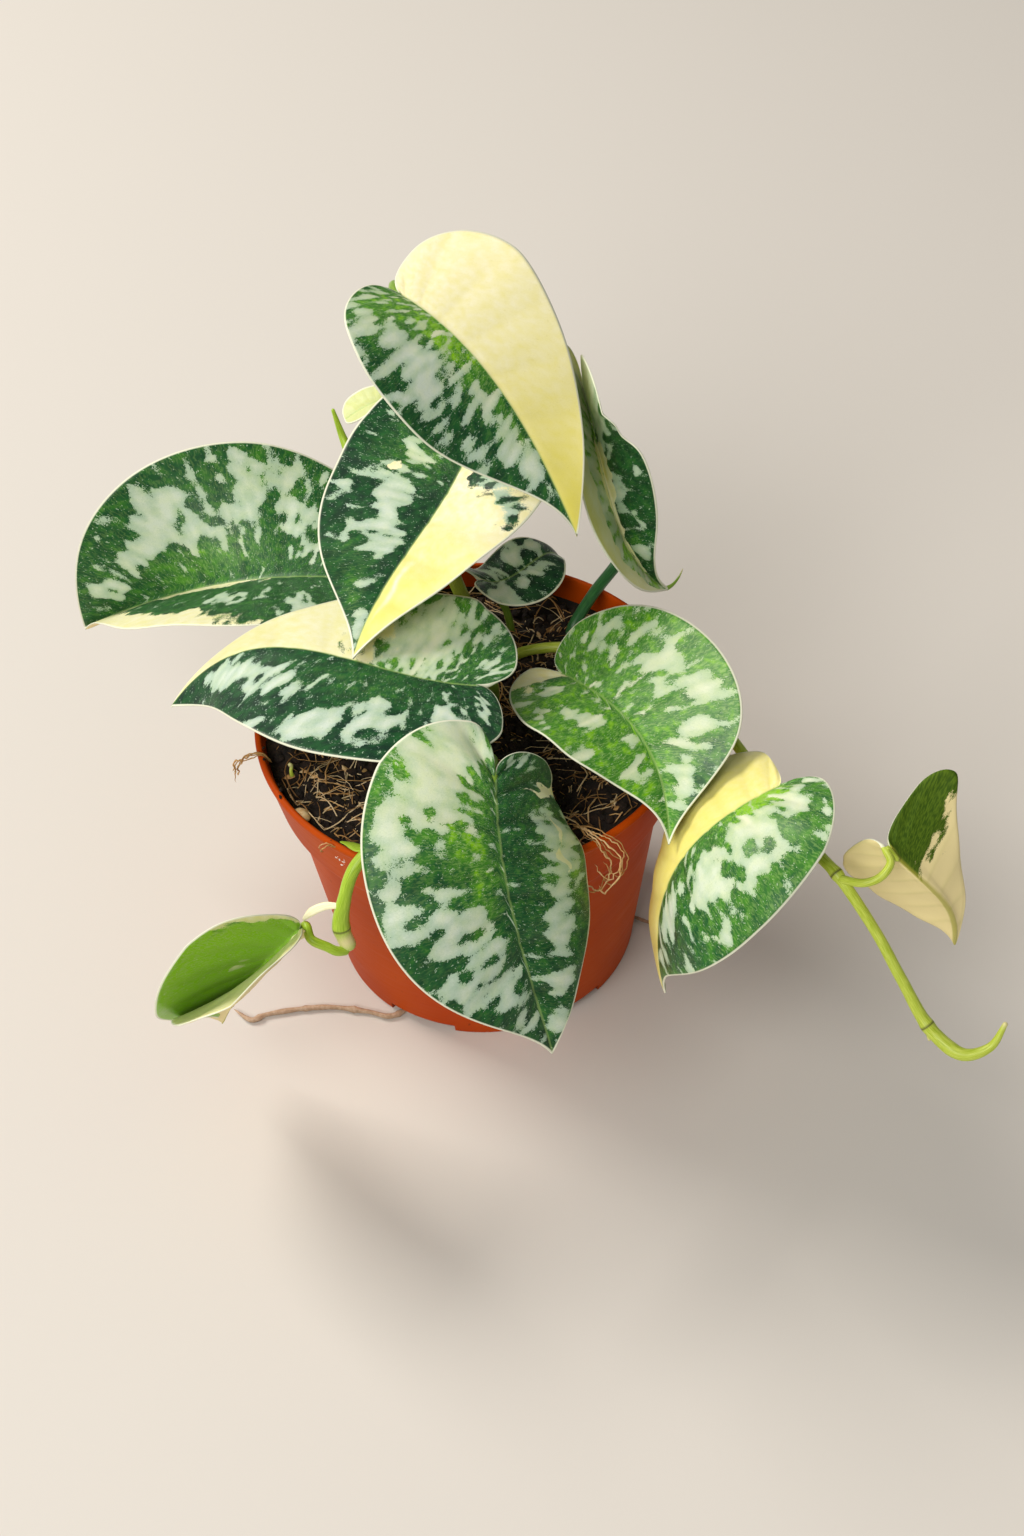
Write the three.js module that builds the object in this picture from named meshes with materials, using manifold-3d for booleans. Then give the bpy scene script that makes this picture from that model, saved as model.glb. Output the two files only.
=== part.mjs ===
// A variegated trailing scindapsus in a small plastic nursery pot.
// Millimetres, +Z up. The origin is the middle of the pot's underside, and the long
// front leaf hangs over the rim towards -Y.
import * as THREE from 'three';
import { mergeVertices } from 'three/addons/utils/BufferGeometryUtils.js';
import Module from 'manifold-3d';

const wasm = await Module();
wasm.setup();

// Pot: a 12 cm nursery pot with a collar, a tapered body and a foot ring
const POT_HEIGHT = 90;
const RIM_RADIUS = 60;
const COLLAR_HEIGHT = 20;
const COLLAR_FOOT_RADIUS = 56;
const BODY_TOP_RADIUS = 52.5;
const FOOT_RADIUS = 44;
const WALL = 1.6;
const FOOT_RING_WIDTH = 3.5;
const CENTRE_DISC_RADIUS = 24;
const FLOOR_LIFT = 3.2;
const NOTCH_COUNT = 6;
const NOTCH_FIRST_ANGLE = 62;
const NOTCH_WIDTH = 20;
const NOTCH_HEIGHT = 2.8;
const DRAIN_HOLE_RADIUS = 3.5;
const DRAIN_HOLE_CIRCLE = 32;
const POT_SEGMENTS = 48;

// Soil: level with the lip in front, lower at the back
const SOIL_GAP = 0.35;
const SOIL_MIDDLE_HEIGHT = 84.5;
const SOIL_SLOPE = -0.055;
const SOIL_LUMP = 1.1;
const STEM_FOOT = 69;
const STEM_CLEARANCE = 0.4;

// Leaves
const BLADE_THICKNESS = 0.8;
const MIDRIB_DEPTH = 0.9;
const SINUS_GAP = 0.8;
const LEAF_ROWS = 16;
const LEAF_COLUMNS = [0, 0.07, 0.36, 0.68, 1];
const ROW_CROWDING = 1.8;
const PETIOLE_SIDES = 7;

// Colours, as measured by eye
const TERRACOTTA = '#b5562b';
const PEAT = '#2a1d16';
const STEM_GREEN = '#6f9a35';
const VINE_GREEN = '#a9bf3a';
const LEAF_GREEN = '#2f6b3c';
const LIGHT_GREEN = '#5f9a3f';
const CREAM = '#e6dc93';
const DRY_ROOT = '#a98a5c';

const radians = THREE.MathUtils.degToRad;
const vec = ([x, y, z]) => new THREE.Vector3(x, y, z);
const plant = new THREE.Group();

// Adds one named solid in its own colour
function addMesh(name, geometry, color, roughness = 0.6) {
  const material = new THREE.MeshStandardMaterial({ color, roughness, metalness: 0 });
  const mesh = new THREE.Mesh(geometry, material);
  mesh.name = name;
  plant.add(mesh);
}

// Closed geometry to a solid that can be joined and cut
function toSolid(geometry) {
  geometry.deleteAttribute('normal');
  geometry.deleteAttribute('uv');
  const merged = mergeVertices(geometry, 1e-4);
  const corners = merged.index.array;
  const kept = [];
  for (let i = 0; i < corners.length; i += 3) {
    const [a, b, c] = corners.slice(i, i + 3);
    if (a !== b && b !== c && a !== c) kept.push(a, b, c);
  }
  return new wasm.Manifold(new wasm.Mesh({
    numProp: 3,
    vertProperties: new Float32Array(merged.attributes.position.array),
    triVerts: new Uint32Array(kept),
  }));
}

function toGeometry(solid) {
  const mesh = solid.getMesh();
  const geometry = new THREE.BufferGeometry();
  geometry.setAttribute('position', new THREE.BufferAttribute(mesh.vertProperties, 3));
  geometry.setIndex(new THREE.BufferAttribute(mesh.triVerts, 1));
  return geometry;
}

function cylinder(radius, bottom, top, x, y, sides = 14) {
  const geometry = new THREE.CylinderGeometry(radius, radius, top - bottom, sides);
  geometry.rotateX(Math.PI / 2);
  geometry.translate(x, y, (top + bottom) / 2);
  return geometry;
}

function lathe(profile, segments) {
  const geometry = new THREE.LatheGeometry(profile.map(([r, z]) => new THREE.Vector2(r, z)), segments);
  geometry.rotateX(Math.PI / 2);
  return geometry;
}

// A round stalk: circles of changing radius carried along a smooth curve, closed by a cap at each end
function stalk(points, radii, sides = 8, steps = 12) {
  const curve = new THREE.CatmullRomCurve3(points.map(vec), false, 'centripetal');
  const { normals, binormals } = curve.computeFrenetFrames(steps, false);
  const positions = [];
  for (let i = 0; i <= steps; i++) {
    const centre = curve.getPointAt(i / steps);
    const place = (i / steps) * (radii.length - 1);
    const lower = Math.min(Math.floor(place), radii.length - 2);
    const radius = THREE.MathUtils.lerp(radii[lower], radii[lower + 1], place - lower);
    for (let j = 0; j < sides; j++) {
      const turn = (j / sides) * 2 * Math.PI;
      const p = centre.clone();
      p.addScaledVector(normals[i], radius * Math.cos(turn));
      p.addScaledVector(binormals[i], radius * Math.sin(turn));
      positions.push(...p);
    }
  }
  const faces = [];
  for (let i = 0; i < steps; i++) {
    for (let j = 0; j < sides; j++) {
      const next = (j + 1) % sides;
      const [a, b] = [i * sides + j, i * sides + next];
      const [c, d] = [a + sides, b + sides];
      faces.push(a, b, d, a, d, c);
    }
  }
  const last = steps * sides;
  for (let j = 1; j < sides - 1; j++) {
    faces.push(0, j + 1, j);
    faces.push(last, last + j, last + j + 1);
  }
  const geometry = new THREE.BufferGeometry();
  geometry.setAttribute('position', new THREE.Float32BufferAttribute(positions, 3));
  geometry.setIndex(faces);
  return geometry;
}

// Pot: one lathe turn, then the notches in the foot ring and the drain holes are cut
function pot() {
  const collarFoot = POT_HEIGHT - COLLAR_HEIGHT;
  const ringInner = FOOT_RADIUS - FOOT_RING_WIDTH;
  const profile = [
    [0, 0], [CENTRE_DISC_RADIUS, 0], [CENTRE_DISC_RADIUS + 2, FLOOR_LIFT], [ringInner, FLOOR_LIFT],
    [ringInner, 0], [FOOT_RADIUS, 0], [FOOT_RADIUS + 0.4, FLOOR_LIFT],
    [BODY_TOP_RADIUS, collarFoot - 4], [COLLAR_FOOT_RADIUS, collarFoot],
    [RIM_RADIUS - 0.6, POT_HEIGHT - 2], [RIM_RADIUS, POT_HEIGHT - 1.2], [RIM_RADIUS - 0.4, POT_HEIGHT],
    [RIM_RADIUS - WALL, POT_HEIGHT], [RIM_RADIUS - WALL - 0.6, POT_HEIGHT - 1.2],
    [COLLAR_FOOT_RADIUS - WALL, collarFoot + 1], [BODY_TOP_RADIUS - WALL, collarFoot - 3],
    [FOOT_RADIUS - WALL + 0.4, FLOOR_LIFT + WALL], [CENTRE_DISC_RADIUS + 1, FLOOR_LIFT + WALL],
    [CENTRE_DISC_RADIUS - 1, WALL], [0, WALL],
  ];
  let solid = toSolid(lathe(profile, POT_SEGMENTS));
  for (let i = 0; i < NOTCH_COUNT; i++) {
    const angle = radians(NOTCH_FIRST_ANGLE + (i * 360) / NOTCH_COUNT);
    const notch = new THREE.BoxGeometry(3 * FOOT_RING_WIDTH, NOTCH_WIDTH, 2 * NOTCH_HEIGHT);
    notch.translate(FOOT_RADIUS, 0, 0);
    notch.rotateZ(angle);
    solid = solid.subtract(toSolid(notch));
    const x = DRAIN_HOLE_CIRCLE * Math.cos(angle);
    const y = DRAIN_HOLE_CIRCLE * Math.sin(angle);
    solid = solid.subtract(toSolid(cylinder(DRAIN_HOLE_RADIUS, -1, FLOOR_LIFT + WALL + 1, x, y)));
  }
  return solid;
}

// Height of the soil's surface: a slope from front to back with soft lumps
function soilHeight(x, y) {
  const lumps = Math.sin(x * 0.31 + 1.3) * Math.cos(y * 0.27) + 0.6 * Math.sin(x * 0.13 - y * 0.41);
  return SOIL_MIDDLE_HEIGHT + SOIL_SLOPE * y + SOIL_LUMP * lumps;
}

// Soil: fills the pot a hair short of its wall, with a plain hole round each stem
function soil(feet) {
  const floor = FLOOR_LIFT + WALL + SOIL_GAP;
  const collarFoot = POT_HEIGHT - COLLAR_HEIGHT;
  const inner = WALL + SOIL_GAP;
  const edge = RIM_RADIUS - inner - 1.6;
  const profile = [
    [0, floor], [FOOT_RADIUS - inner + 0.3, floor], [BODY_TOP_RADIUS - inner - 0.1, collarFoot - 3],
    [COLLAR_FOOT_RADIUS - inner - 0.1, collarFoot + 1.4], [edge, SOIL_MIDDLE_HEIGHT],
    [46, SOIL_MIDDLE_HEIGHT], [34, SOIL_MIDDLE_HEIGHT], [22, SOIL_MIDDLE_HEIGHT],
    [10, SOIL_MIDDLE_HEIGHT], [0, SOIL_MIDDLE_HEIGHT],
  ];
  const geometry = lathe(profile, POT_SEGMENTS);
  const position = geometry.attributes.position;
  const wallRun = (RIM_RADIUS - COLLAR_FOOT_RADIUS) / COLLAR_HEIGHT;
  for (let i = 0; i < position.count; i++) {
    if (position.getZ(i) > SOIL_MIDDLE_HEIGHT - 1) {
      let [x, y] = [position.getX(i), position.getY(i)];
      const z = soilHeight(x, y);
      const reach = Math.hypot(x, y);
      if (reach > edge - 1) {
        const wall = RIM_RADIUS - inner - 0.7 - wallRun * (POT_HEIGHT - z);
        x *= wall / reach;
        y *= wall / reach;
      }
      position.setXYZ(i, x, y, z);
    }
  }
  let solid = toSolid(geometry);
  for (const { at: [x, y], radius } of feet) {
    const hole = cylinder(radius + STEM_CLEARANCE, STEM_FOOT - SOIL_GAP, POT_HEIGHT + 5, x, y, 16);
    solid = solid.subtract(toSolid(hole));
  }
  return solid;
}

// Point of a cubic Bezier arc
function bezier(p, t) {
  const s = 1 - t;
  const weights = [s * s * s, 3 * s * s * t, 3 * s * t * t, t * t * t];
  return p[0].map((_, k) => weights.reduce((sum, w, i) => sum + w * p[i][k], 0));
}

// Outline of one half of a flat leaf, as [along the midrib, out from it], from the
// petiole's end back round the lobe, out to the widest place and on to the tip.
// half = lobe length, how far out the lobe's back lies, greatest width, where that is,
// fullness towards the tip, length of the drawn-out tip, its angle, fold and curl.
function halfOutline(length, half) {
  const [lobe, lobeOut, width, widest, belly, taper, tipAngle] = half;
  const tipRun = taper * (length - widest);
  const tipTurn = radians(tipAngle);
  const arcs = [
    [[0, 0], [-0.65 * lobe, SINUS_GAP], [-lobe, 0.45 * lobeOut], [-lobe, lobeOut]],
    [[-lobe, lobeOut], [-lobe, 0.45 * lobeOut + 0.55 * width],
      [0.45 * widest - 0.55 * lobe, width], [widest, width]],
    [[widest, width], [widest + belly * (length - widest), width],
      [length - tipRun * Math.cos(tipTurn), tipRun * Math.sin(tipTurn)], [length, 0]],
  ];
  const points = [];
  for (const arc of arcs) {
    for (let i = 0; i < 40; i++) points.push(bezier(arc, i / 40));
  }
  points.push([length, 0]);
  const along = [0];
  for (let i = 1; i < points.length; i++) {
    along.push(along[i - 1] + Math.hypot(points[i][0] - points[i - 1][0], points[i][1] - points[i - 1][1]));
  }
  const total = along[along.length - 1];
  const outline = [];
  let k = 0;
  for (let row = 0; row <= LEAF_ROWS; row++) {
    const goal = (row / LEAF_ROWS) * total;
    while (k < along.length - 2 && along[k + 1] < goal) k++;
    const t = (goal - along[k]) / (along[k + 1] - along[k]);
    outline.push([0, 1].map((c) => THREE.MathUtils.lerp(points[k][c], points[k + 1][c], t)));
  }
  return outline;
}

// Midrib curve: point, direction, upward normal and leftward side at t from petiole to tip
function midribFrame(leaf) {
  const [base, tip] = [vec(leaf.base), vec(leaf.tip)];
  const length = base.distanceTo(tip);
  const chord = tip.clone().sub(base).normalize();
  const up = new THREE.Vector3(0, 0, 1).addScaledVector(chord, -chord.z).normalize();
  up.applyAxisAngle(chord, radians(leaf.roll));
  const left = up.clone().cross(chord);
  const knot = (t, i) => base.clone().addScaledVector(chord, length * t)
    .addScaledVector(up, leaf.arch[i]).addScaledVector(left, leaf.sweep[i]);
  const curve = new THREE.CubicBezierCurve3(base, knot(1 / 3, 0), knot(2 / 3, 1), tip);
  const frame = (t) => {
    const at = THREE.MathUtils.clamp(t, 0, 1);
    const point = curve.getPoint(at);
    const forward = curve.getTangent(at);
    const normal = up.clone().addScaledVector(forward, -up.dot(forward)).normalize();
    normal.applyAxisAngle(forward, -radians(leaf.twist) * at);
    return { point, forward, normal, side: normal.clone().cross(forward) };
  };
  return { length, frame };
}

// The flat leaf bent into space: along the midrib's curve, and across it by a fold at
// the midrib and an even curl from there to the edge
function bend(leaf, rib, half, sign, [u, v]) {
  const [width, fold, curl] = [half[2], half[7], half[8]];
  const t = u / rib.length;
  const { point, forward, normal, side } = rib.frame(t);
  const start = radians(fold + leaf.foldTip * THREE.MathUtils.clamp(t, 0, 1));
  const rate = radians(curl || 0.01) / width;
  const out = (Math.sin(start + rate * v) - Math.sin(start)) / rate;
  const rise = (Math.cos(start) - Math.cos(start + rate * v)) / rate;
  point.addScaledVector(forward, Math.min(u, 0));
  point.addScaledVector(normal, rise);
  return point.addScaledVector(side, sign * out);
}

// Blade: rows run from the midrib to the edge as the side veins do. The upper face is
// bent into place, the lower face is the same net set down along its normals, deeper
// under the midrib, and a wall joins the two round the edge.
function blade(leaf) {
  const rib = midribFrame(leaf);
  const points = [vec(leaf.base), vec(leaf.tip)];
  const depths = [MIDRIB_DEPTH + BLADE_THICKNESS, BLADE_THICKNESS];
  const ribRow = (row) => rib.length * (row / LEAF_ROWS) ** ROW_CROWDING;
  for (let row = 1; row < LEAF_ROWS; row++) {
    points.push(rib.frame(ribRow(row) / rib.length).point);
    depths.push(BLADE_THICKNESS + MIDRIB_DEPTH * (1 - row / LEAF_ROWS));
  }
  const columns = LEAF_COLUMNS.length - 1;
  const faces = [];
  for (const [half, sign, side] of [[leaf.left, 1, 0], [leaf.right, -1, 1]]) {
    const outline = halfOutline(rib.length, half);
    const notch = side === 0 ? leaf.notch : undefined;
    for (let row = 1; row < LEAF_ROWS; row++) {
      const start = ribRow(row);
      const [u, v] = outline[row];
      const away = notch ? (row / LEAF_ROWS - notch.at) / notch.width : 0;
      const pinch = notch ? 1 - notch.depth * Math.exp(-(away ** 2)) : 1;
      for (let column = 1; column <= columns; column++) {
        const r = LEAF_COLUMNS[column];
        points.push(bend(leaf, rib, half, sign, [start + (u - start) * r, v * r * pinch]));
        depths.push(BLADE_THICKNESS);
      }
    }
    const first = LEAF_ROWS + 1 + side * (LEAF_ROWS - 1) * columns;
    const at = (row, column) => {
      if (row === 0) return 0;
      if (row === LEAF_ROWS) return 1;
      return column === 0 ? row + 1 : first + (row - 1) * columns + column - 1;
    };
    for (let row = 0; row < LEAF_ROWS; row++) {
      for (let column = 0; column < columns; column++) {
        const [a, b] = [at(row, column), at(row + 1, column)];
        const [d, c] = [at(row, column + 1), at(row + 1, column + 1)];
        const pair = sign > 0 ? [[a, b, c], [a, c, d]] : [[a, c, b], [a, d, c]];
        faces.push(...pair.filter(([p, q, s]) => p !== q && q !== s && p !== s));
      }
    }
  }
  return thicken(points, depths, faces);
}

// Closes a net of faces into a thin solid
function thicken(points, depths, faces) {
  const normals = points.map(() => new THREE.Vector3());
  const edges = new Set();
  for (const [a, b, c] of faces) {
    const ab = points[b].clone().sub(points[a]);
    const ac = points[c].clone().sub(points[a]);
    const cross = ab.cross(ac);
    for (const i of [a, b, c]) normals[i].add(cross);
    for (const [i, j] of [[a, b], [b, c], [c, a]]) edges.add(`${i} ${j}`);
  }
  const count = points.length;
  const lower = points.map((p, i) => p.clone().addScaledVector(normals[i].normalize(), -depths[i]));
  const corners = [];
  for (const [a, b, c] of faces) corners.push(a, b, c, a + count, c + count, b + count);
  for (const edge of edges) {
    const [i, j] = edge.split(' ').map(Number);
    if (!edges.has(`${j} ${i}`)) corners.push(j, i, i + count, j, i + count, j + count);
  }
  const geometry = new THREE.BufferGeometry();
  const positions = [...points, ...lower].flatMap((p) => [p.x, p.y, p.z]);
  geometry.setAttribute('position', new THREE.Float32BufferAttribute(positions, 3));
  geometry.setIndex(corners);
  return geometry;
}

// A path that starts at the soil's surface, led straight down to its foot in the soil
function rooted(path) {
  const [x, y, z] = path[0];
  return [[x, y, STEM_FOOT], [x, y, z - 4], ...path];
}

// A leaf: the blade with its own petiole, which runs under the midrib and into it
function leafSolid(leaf) {
  const { frame } = midribFrame(leaf);
  const { point, forward, normal } = frame(0);
  const under = point.clone().addScaledVector(normal, -1.5).addScaledVector(forward, -1);
  const end = point.clone().addScaledVector(normal, -0.9).addScaledVector(forward, 4);
  const start = leaf.rooted ? rooted(leaf.petiole) : leaf.petiole;
  const path = [...start, under.toArray(), end.toArray()];
  const radius = leaf.petioleRadius;
  const tube = stalk(path, [radius * 1.15, radius, radius, radius * 0.9, radius * 0.55], PETIOLE_SIDES, 12);
  const bodies = toSolid(blade(leaf)).add(toSolid(tube)).decompose();
  return bodies.sort((a, b) => b.volume() - a.volume())[0];
}

// Each leaf's place, bend and half outlines. Where a petiole starts below the soil, it
// stands in a hole of its own; the others start at a stem.
const LEAVES = {
  leaf_top: {
    base: [-12, 69.5, 179], tip: [31, 17, 135.5],
    roll: -14, arch: [12, 6], sweep: [3, 3], twist: -28, foldTip: -18,
    left: [7, 13.5, 31.5, 12, 0.1, 0.35, 36, 17, 4],
    right: [7, 9, 31.5, 17.5, 0.6, 0.3, 3, 12, -14],
    petiole: [[-11.5, 90, 150.5], [-14, 89, 162], [-14, 80, 174]], petioleRadius: 1.7, color: CREAM,
  },
  leaf_crown: {
    base: [5, 66.5, 133], tip: [-30, -10, 122],
    roll: 7, arch: [-4, 4], sweep: [4, -4], twist: -4, foldTip: -5,
    left: [14, 16, 32, 18, 0.45, 0.4, 33, 11, 1],
    right: [14.5, 17, 33.5, 18.5, 0.65, 0.35, 15, 12, 4],
    petiole: [[-4.7, 64.1, 114.1], [0, 70, 116.5], [4.5, 72, 125]], petioleRadius: 1.6, color: LEAF_GREEN,
  },
  leaf_left: {
    base: [-38.5, 49.5, 97], tip: [-115.5, 64, 69],
    roll: 5, arch: [8, 5], sweep: [0, -2], twist: 38, foldTip: 52,
    left: [11, 19.5, 37, 24, 0.6, 0.45, 39, 16, -5],
    right: [10.5, 16.5, 40.5, 26.5, 0.6, 0.45, 61, 21, -4],
    rooted: true, petiole: [[-15, 28, 88], [-19, 36, 93], [-30, 46, 95]],
    petioleRadius: 1.6, color: LEAF_GREEN,
  },
  leaf_left_low: {
    base: [2, -19.5, 119], tip: [-82, 0.5, 97.5],
    roll: 11, arch: [7, 27], sweep: [5, -13], twist: 0, foldTip: -18,
    left: [8.5, 20.5, 35.5, 15, 0.45, 0.35, 58, -2, 3],
    right: [10, 9.5, 35, 8.5, 0.5, 0.35, 36, 5, 6],
    rooted: true, petiole: [[6, 2, 88], [6, -4, 103], [4, -14, 114]], petioleRadius: 1.6, color: LEAF_GREEN,
  },
  leaf_front: {
    base: [6, -54.5, 123], tip: [16, -98, 63],
    roll: -12, arch: [14, 3], sweep: [-11, -3], twist: 6, foldTip: 17,
    left: [8.5, 17, 31, 18.5, 0.55, 0.4, 44, -7, -47],
    right: [13, 7, 35.5, 18.5, 0.55, 0.35, 30, 0, -35],
    notch: { at: 0.27, depth: 0.16, width: 0.035 },
    rooted: true, petiole: [[4, -28, 89], [4, -33, 103], [5, -43, 115]],
    petioleRadius: 1.7, color: LEAF_GREEN,
  },
  leaf_right: {
    base: [25, 0.5, 101.5], tip: [49, -57.5, 95],
    roll: -8, arch: [7, 9], sweep: [8, 10], twist: -13, foldTip: 14,
    left: [8.5, 14, 31, 18.5, 0.8, 0.4, 26, 12, 15],
    right: [7, 7, 26.5, 19, 0.65, 0.4, 16, 4, 8],
    petiole: [[35, 13.5, 95.4], [31, 9, 97], [27, 4, 99]], petioleRadius: 1.4, color: LIGHT_GREEN,
  },
  leaf_right_low: {
    base: [77.5, -53, 110.5], tip: [46.5, -74.5, 54.5],
    roll: 30, arch: [22, 16], sweep: [2, -5], twist: -8, foldTip: -5,
    left: [10, 9, 35, 19, 0.75, 0.35, 31, 6, -48],
    right: [2, 14, 33, 17, 0.55, 0.4, 43, 10, -36],
    petiole: [[81, -49.5, 100], [83.5, -53, 104], [81.5, -54, 108.5]],
    petioleRadius: 1.4, color: LIGHT_GREEN,
  },
  leaf_vine: {
    base: [102, -74, 108], tip: [122, -75, 69],
    roll: 263, arch: [-7, 0], sweep: [-5, -7], twist: -6, foldTip: -16,
    left: [4, 6.5, 23, 3, 0.7, 0.25, 27, 35, 8],
    right: [4.5, 16.5, 25.5, 0.5, 0.1, 0.9, 15, 37, -1],
    petiole: [[92.2, -77.4, 101.6], [95.5, -80, 102], [99.5, -80, 104], [102, -78, 107]],
    petioleRadius: 1.1, color: CREAM,
  },
  leaf_back_right: {
    base: [37, 63, 143], tip: [58, 43, 90],
    roll: 51, arch: [4, 21], sweep: [-3, -6], twist: 38, foldTip: -28,
    left: [15, 11.5, 25, 11, 0.4, 0.4, 8, 78, -13],
    right: [18.5, 8, 24, 11, 0.55, 0.4, 30, 80, -2],
    rooted: true,
    petiole: [[29.5, 31, 88], [36, 39, 93.5], [43.9, 48.1, 97.1], [47, 48.6, 104], [48, 48.8, 113],
      [47.3, 50.5, 122.5], [44, 56, 131], [39.5, 63.5, 137.5], [36.5, 68.5, 142], [36, 68, 145]],
    petioleRadius: 1.7, color: LEAF_GREEN,
  },
  leaf_back: {
    base: [6, 37.5, 103], tip: [28, 55, 93],
    roll: -6, arch: [-3, 11], sweep: [-4, -1], twist: -17, foldTip: 12,
    left: [5.5, 6, 12, 7, 0.6, 0.45, 44, 1, -22],
    right: [5.5, 6, 13, 7, 0.55, 0.4, 36, 1, -18],
    rooted: true, petiole: [[12, 36, 86], [10, 36.5, 95]], petioleRadius: 1.1, color: LEAF_GREEN,
  },
  leaf_pale: {
    base: [-21, 98, 122], tip: [-33, 95, 117],
    roll: 0, arch: [1, 1], sweep: [0, 0], twist: 0, foldTip: 0,
    left: [2.5, 2.5, 5, 4, 0.6, 0.4, 50, 15, 0],
    right: [2.5, 2.5, 5, 4, 0.6, 0.4, 50, 15, 0],
    petiole: [[-25, 80.5, 104.8], [-22, 88, 110], [-19.5, 96, 118]], petioleRadius: 0.9, color: CREAM,
  },
  leaf_young: {
    base: [-48, -63, 76], tip: [-76, -50, 21],
    roll: -64, arch: [1, 1], sweep: [0, -3], twist: -5, foldTip: 31,
    left: [9.5, 21, 34, 12.5, 0.5, 0.4, 32, 65, 18],
    right: [10.5, 17, 36, 13, 0.65, 0.4, 21, 64, 17],
    petiole: [[-38.5, -67.1, 71.3], [-41, -66.8, 73], [-45, -65.5, 75]],
    petioleRadius: 1.3, color: VINE_GREEN,
  },
};

// Stems and shoots, each a stalk through hand-set points with its radii from foot to end
const STEMS = {
  stem_crown: {
    path: [[1, 36, 87], [0, 38, 92], [-3, 42, 100], [-6, 50, 107], [-8, 62, 113.5], [-10, 78, 121],
      [-10, 88, 134], [-11, 90, 148]],
    radii: [2.1, 2.1, 2, 2, 2.3, 1.9], color: VINE_GREEN,
  },
  stem_spear: {
    path: [[-12, 44, 86], [-15, 54, 94], [-24, 76, 101], [-31, 90, 104], [-34, 96, 109],
      [-36.5, 99.5, 118]],
    radii: [1.6, 1.6, 1.6, 1.6, 1.6, 1.5, 0.5], color: STEM_GREEN,
  },
  vine_right: {
    path: [[9, 19, 86], [13, 20, 90], [25, 20, 92], [39, 14, 92.8], [53, 5, 93.8], [67, -17, 94.5],
      [78, -46, 96], [85.5, -67, 99.5], [90, -75.5, 99.5], [99, -85.5, 88], [104.3, -93.5, 80],
      [111.4, -103, 70], [118.5, -109, 67.5], [125, -109, 70], [129, -106, 76]],
    radii: [1.6, 1.5, 1.5, 1.5, 1.5, 1.5, 1.5, 1.6, 1.5, 1.4, 1.5, 1.9, 1.2], steps: 40, color: VINE_GREEN,
  },
  shoot_young: {
    path: [[-10, -36, 90], [-16, -43, 94.5], [-25, -51, 95.5], [-32, -56.5, 92], [-35.5, -60.5, 84],
      [-37, -63, 76], [-35, -65.5, 69.5]],
    radii: [2, 2, 2, 2, 2, 2, 2, 2.6, 2], steps: 18, color: VINE_GREEN,
  },
};

// Papery sheaths that wrapped the young leaf
const SHEATHS = {
  sheath_rim: {
    path: [[-39, -49, 92.2], [-36, -50.8, 92.6], [-32.5, -51.4, 92.8]],
    radii: [0.4, 1, 0.5], color: CREAM,
  },
  sheath_young: {
    path: [[-47, -59, 78.2], [-43, -58.5, 80], [-39, -58, 81.5]],
    radii: [0.4, 0.9, 0.6], color: CREAM,
  },
};

// Dry aerial roots
const ROOTS = {
  root_table: {
    path: [[-15, -28.5, 4.4], [-17.5, -29.5, 2], [-23, -33, 1], [-29.8, -36.5, 1], [-36, -34.5, 1],
      [-48.7, -31.8, 1], [-66.6, -33.3, 1], [-70.4, -34.9, 1], [-76, -30.4, 1]],
    radii: [0.6, 0.8, 0.8, 0.8, 0.7, 0.9, 0.6], steps: 18,
  },
  root_right: {
    path: [[32, 1, 4.4], [35, -0.5, 2], [43.4, -4.5, 1], [50, -8, 1], [58, -9, 1]],
    radii: [0.5, 0.7, 0.7, 0.5],
  },
  root_rim_left: {
    path: [[-49, -10, 87.3], [-56, -12.5, 91.2], [-60.8, -12.5, 91.6], [-65, -11.5, 88], [-67, -9, 81]],
    radii: [0.4, 0.5, 0.6, 0.6, 0.4],
  },
  root_rim_right: {
    path: [[25, -43, 89.3], [29, -49, 92], [32.8, -53, 91.6], [37, -56, 86], [33.5, -60, 83],
      [30.5, -58, 87]],
    radii: [0.4, 0.5, 0.5, 0.5, 0.5, 0.4],
  },
};

addMesh('pot', toGeometry(pot()), TERRACOTTA, 0.5);

const feet = [];
for (const [name, leaf] of Object.entries(LEAVES)) {
  addMesh(name, toGeometry(leafSolid(leaf)), leaf.color, 0.45);
  if (leaf.rooted) feet.push({ at: leaf.petiole[0], radius: leaf.petioleRadius * 1.15 });
}
for (const [name, stem] of Object.entries(STEMS)) {
  const tube = stalk(rooted(stem.path), stem.radii, 8, stem.steps ?? 18);
  addMesh(name, toGeometry(toSolid(tube)), stem.color);
  feet.push({ at: stem.path[0], radius: stem.radii[0] });
}
for (const [name, sheath] of Object.entries(SHEATHS)) {
  addMesh(name, toGeometry(toSolid(stalk(sheath.path, sheath.radii, 6, 6))), sheath.color);
}
for (const [name, root] of Object.entries(ROOTS)) {
  addMesh(name, toGeometry(toSolid(stalk(root.path, root.radii, 5, root.steps ?? 14))), DRY_ROOT, 0.9);
}
addMesh('soil', toGeometry(soil(feet)), PEAT, 0.95);

export default plant;
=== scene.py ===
"""A variegated scindapsus in a terracotta-coloured nursery pot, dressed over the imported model."""
import math
import bmesh
import bpy
import numpy as np
from mathutils import Matrix


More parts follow.
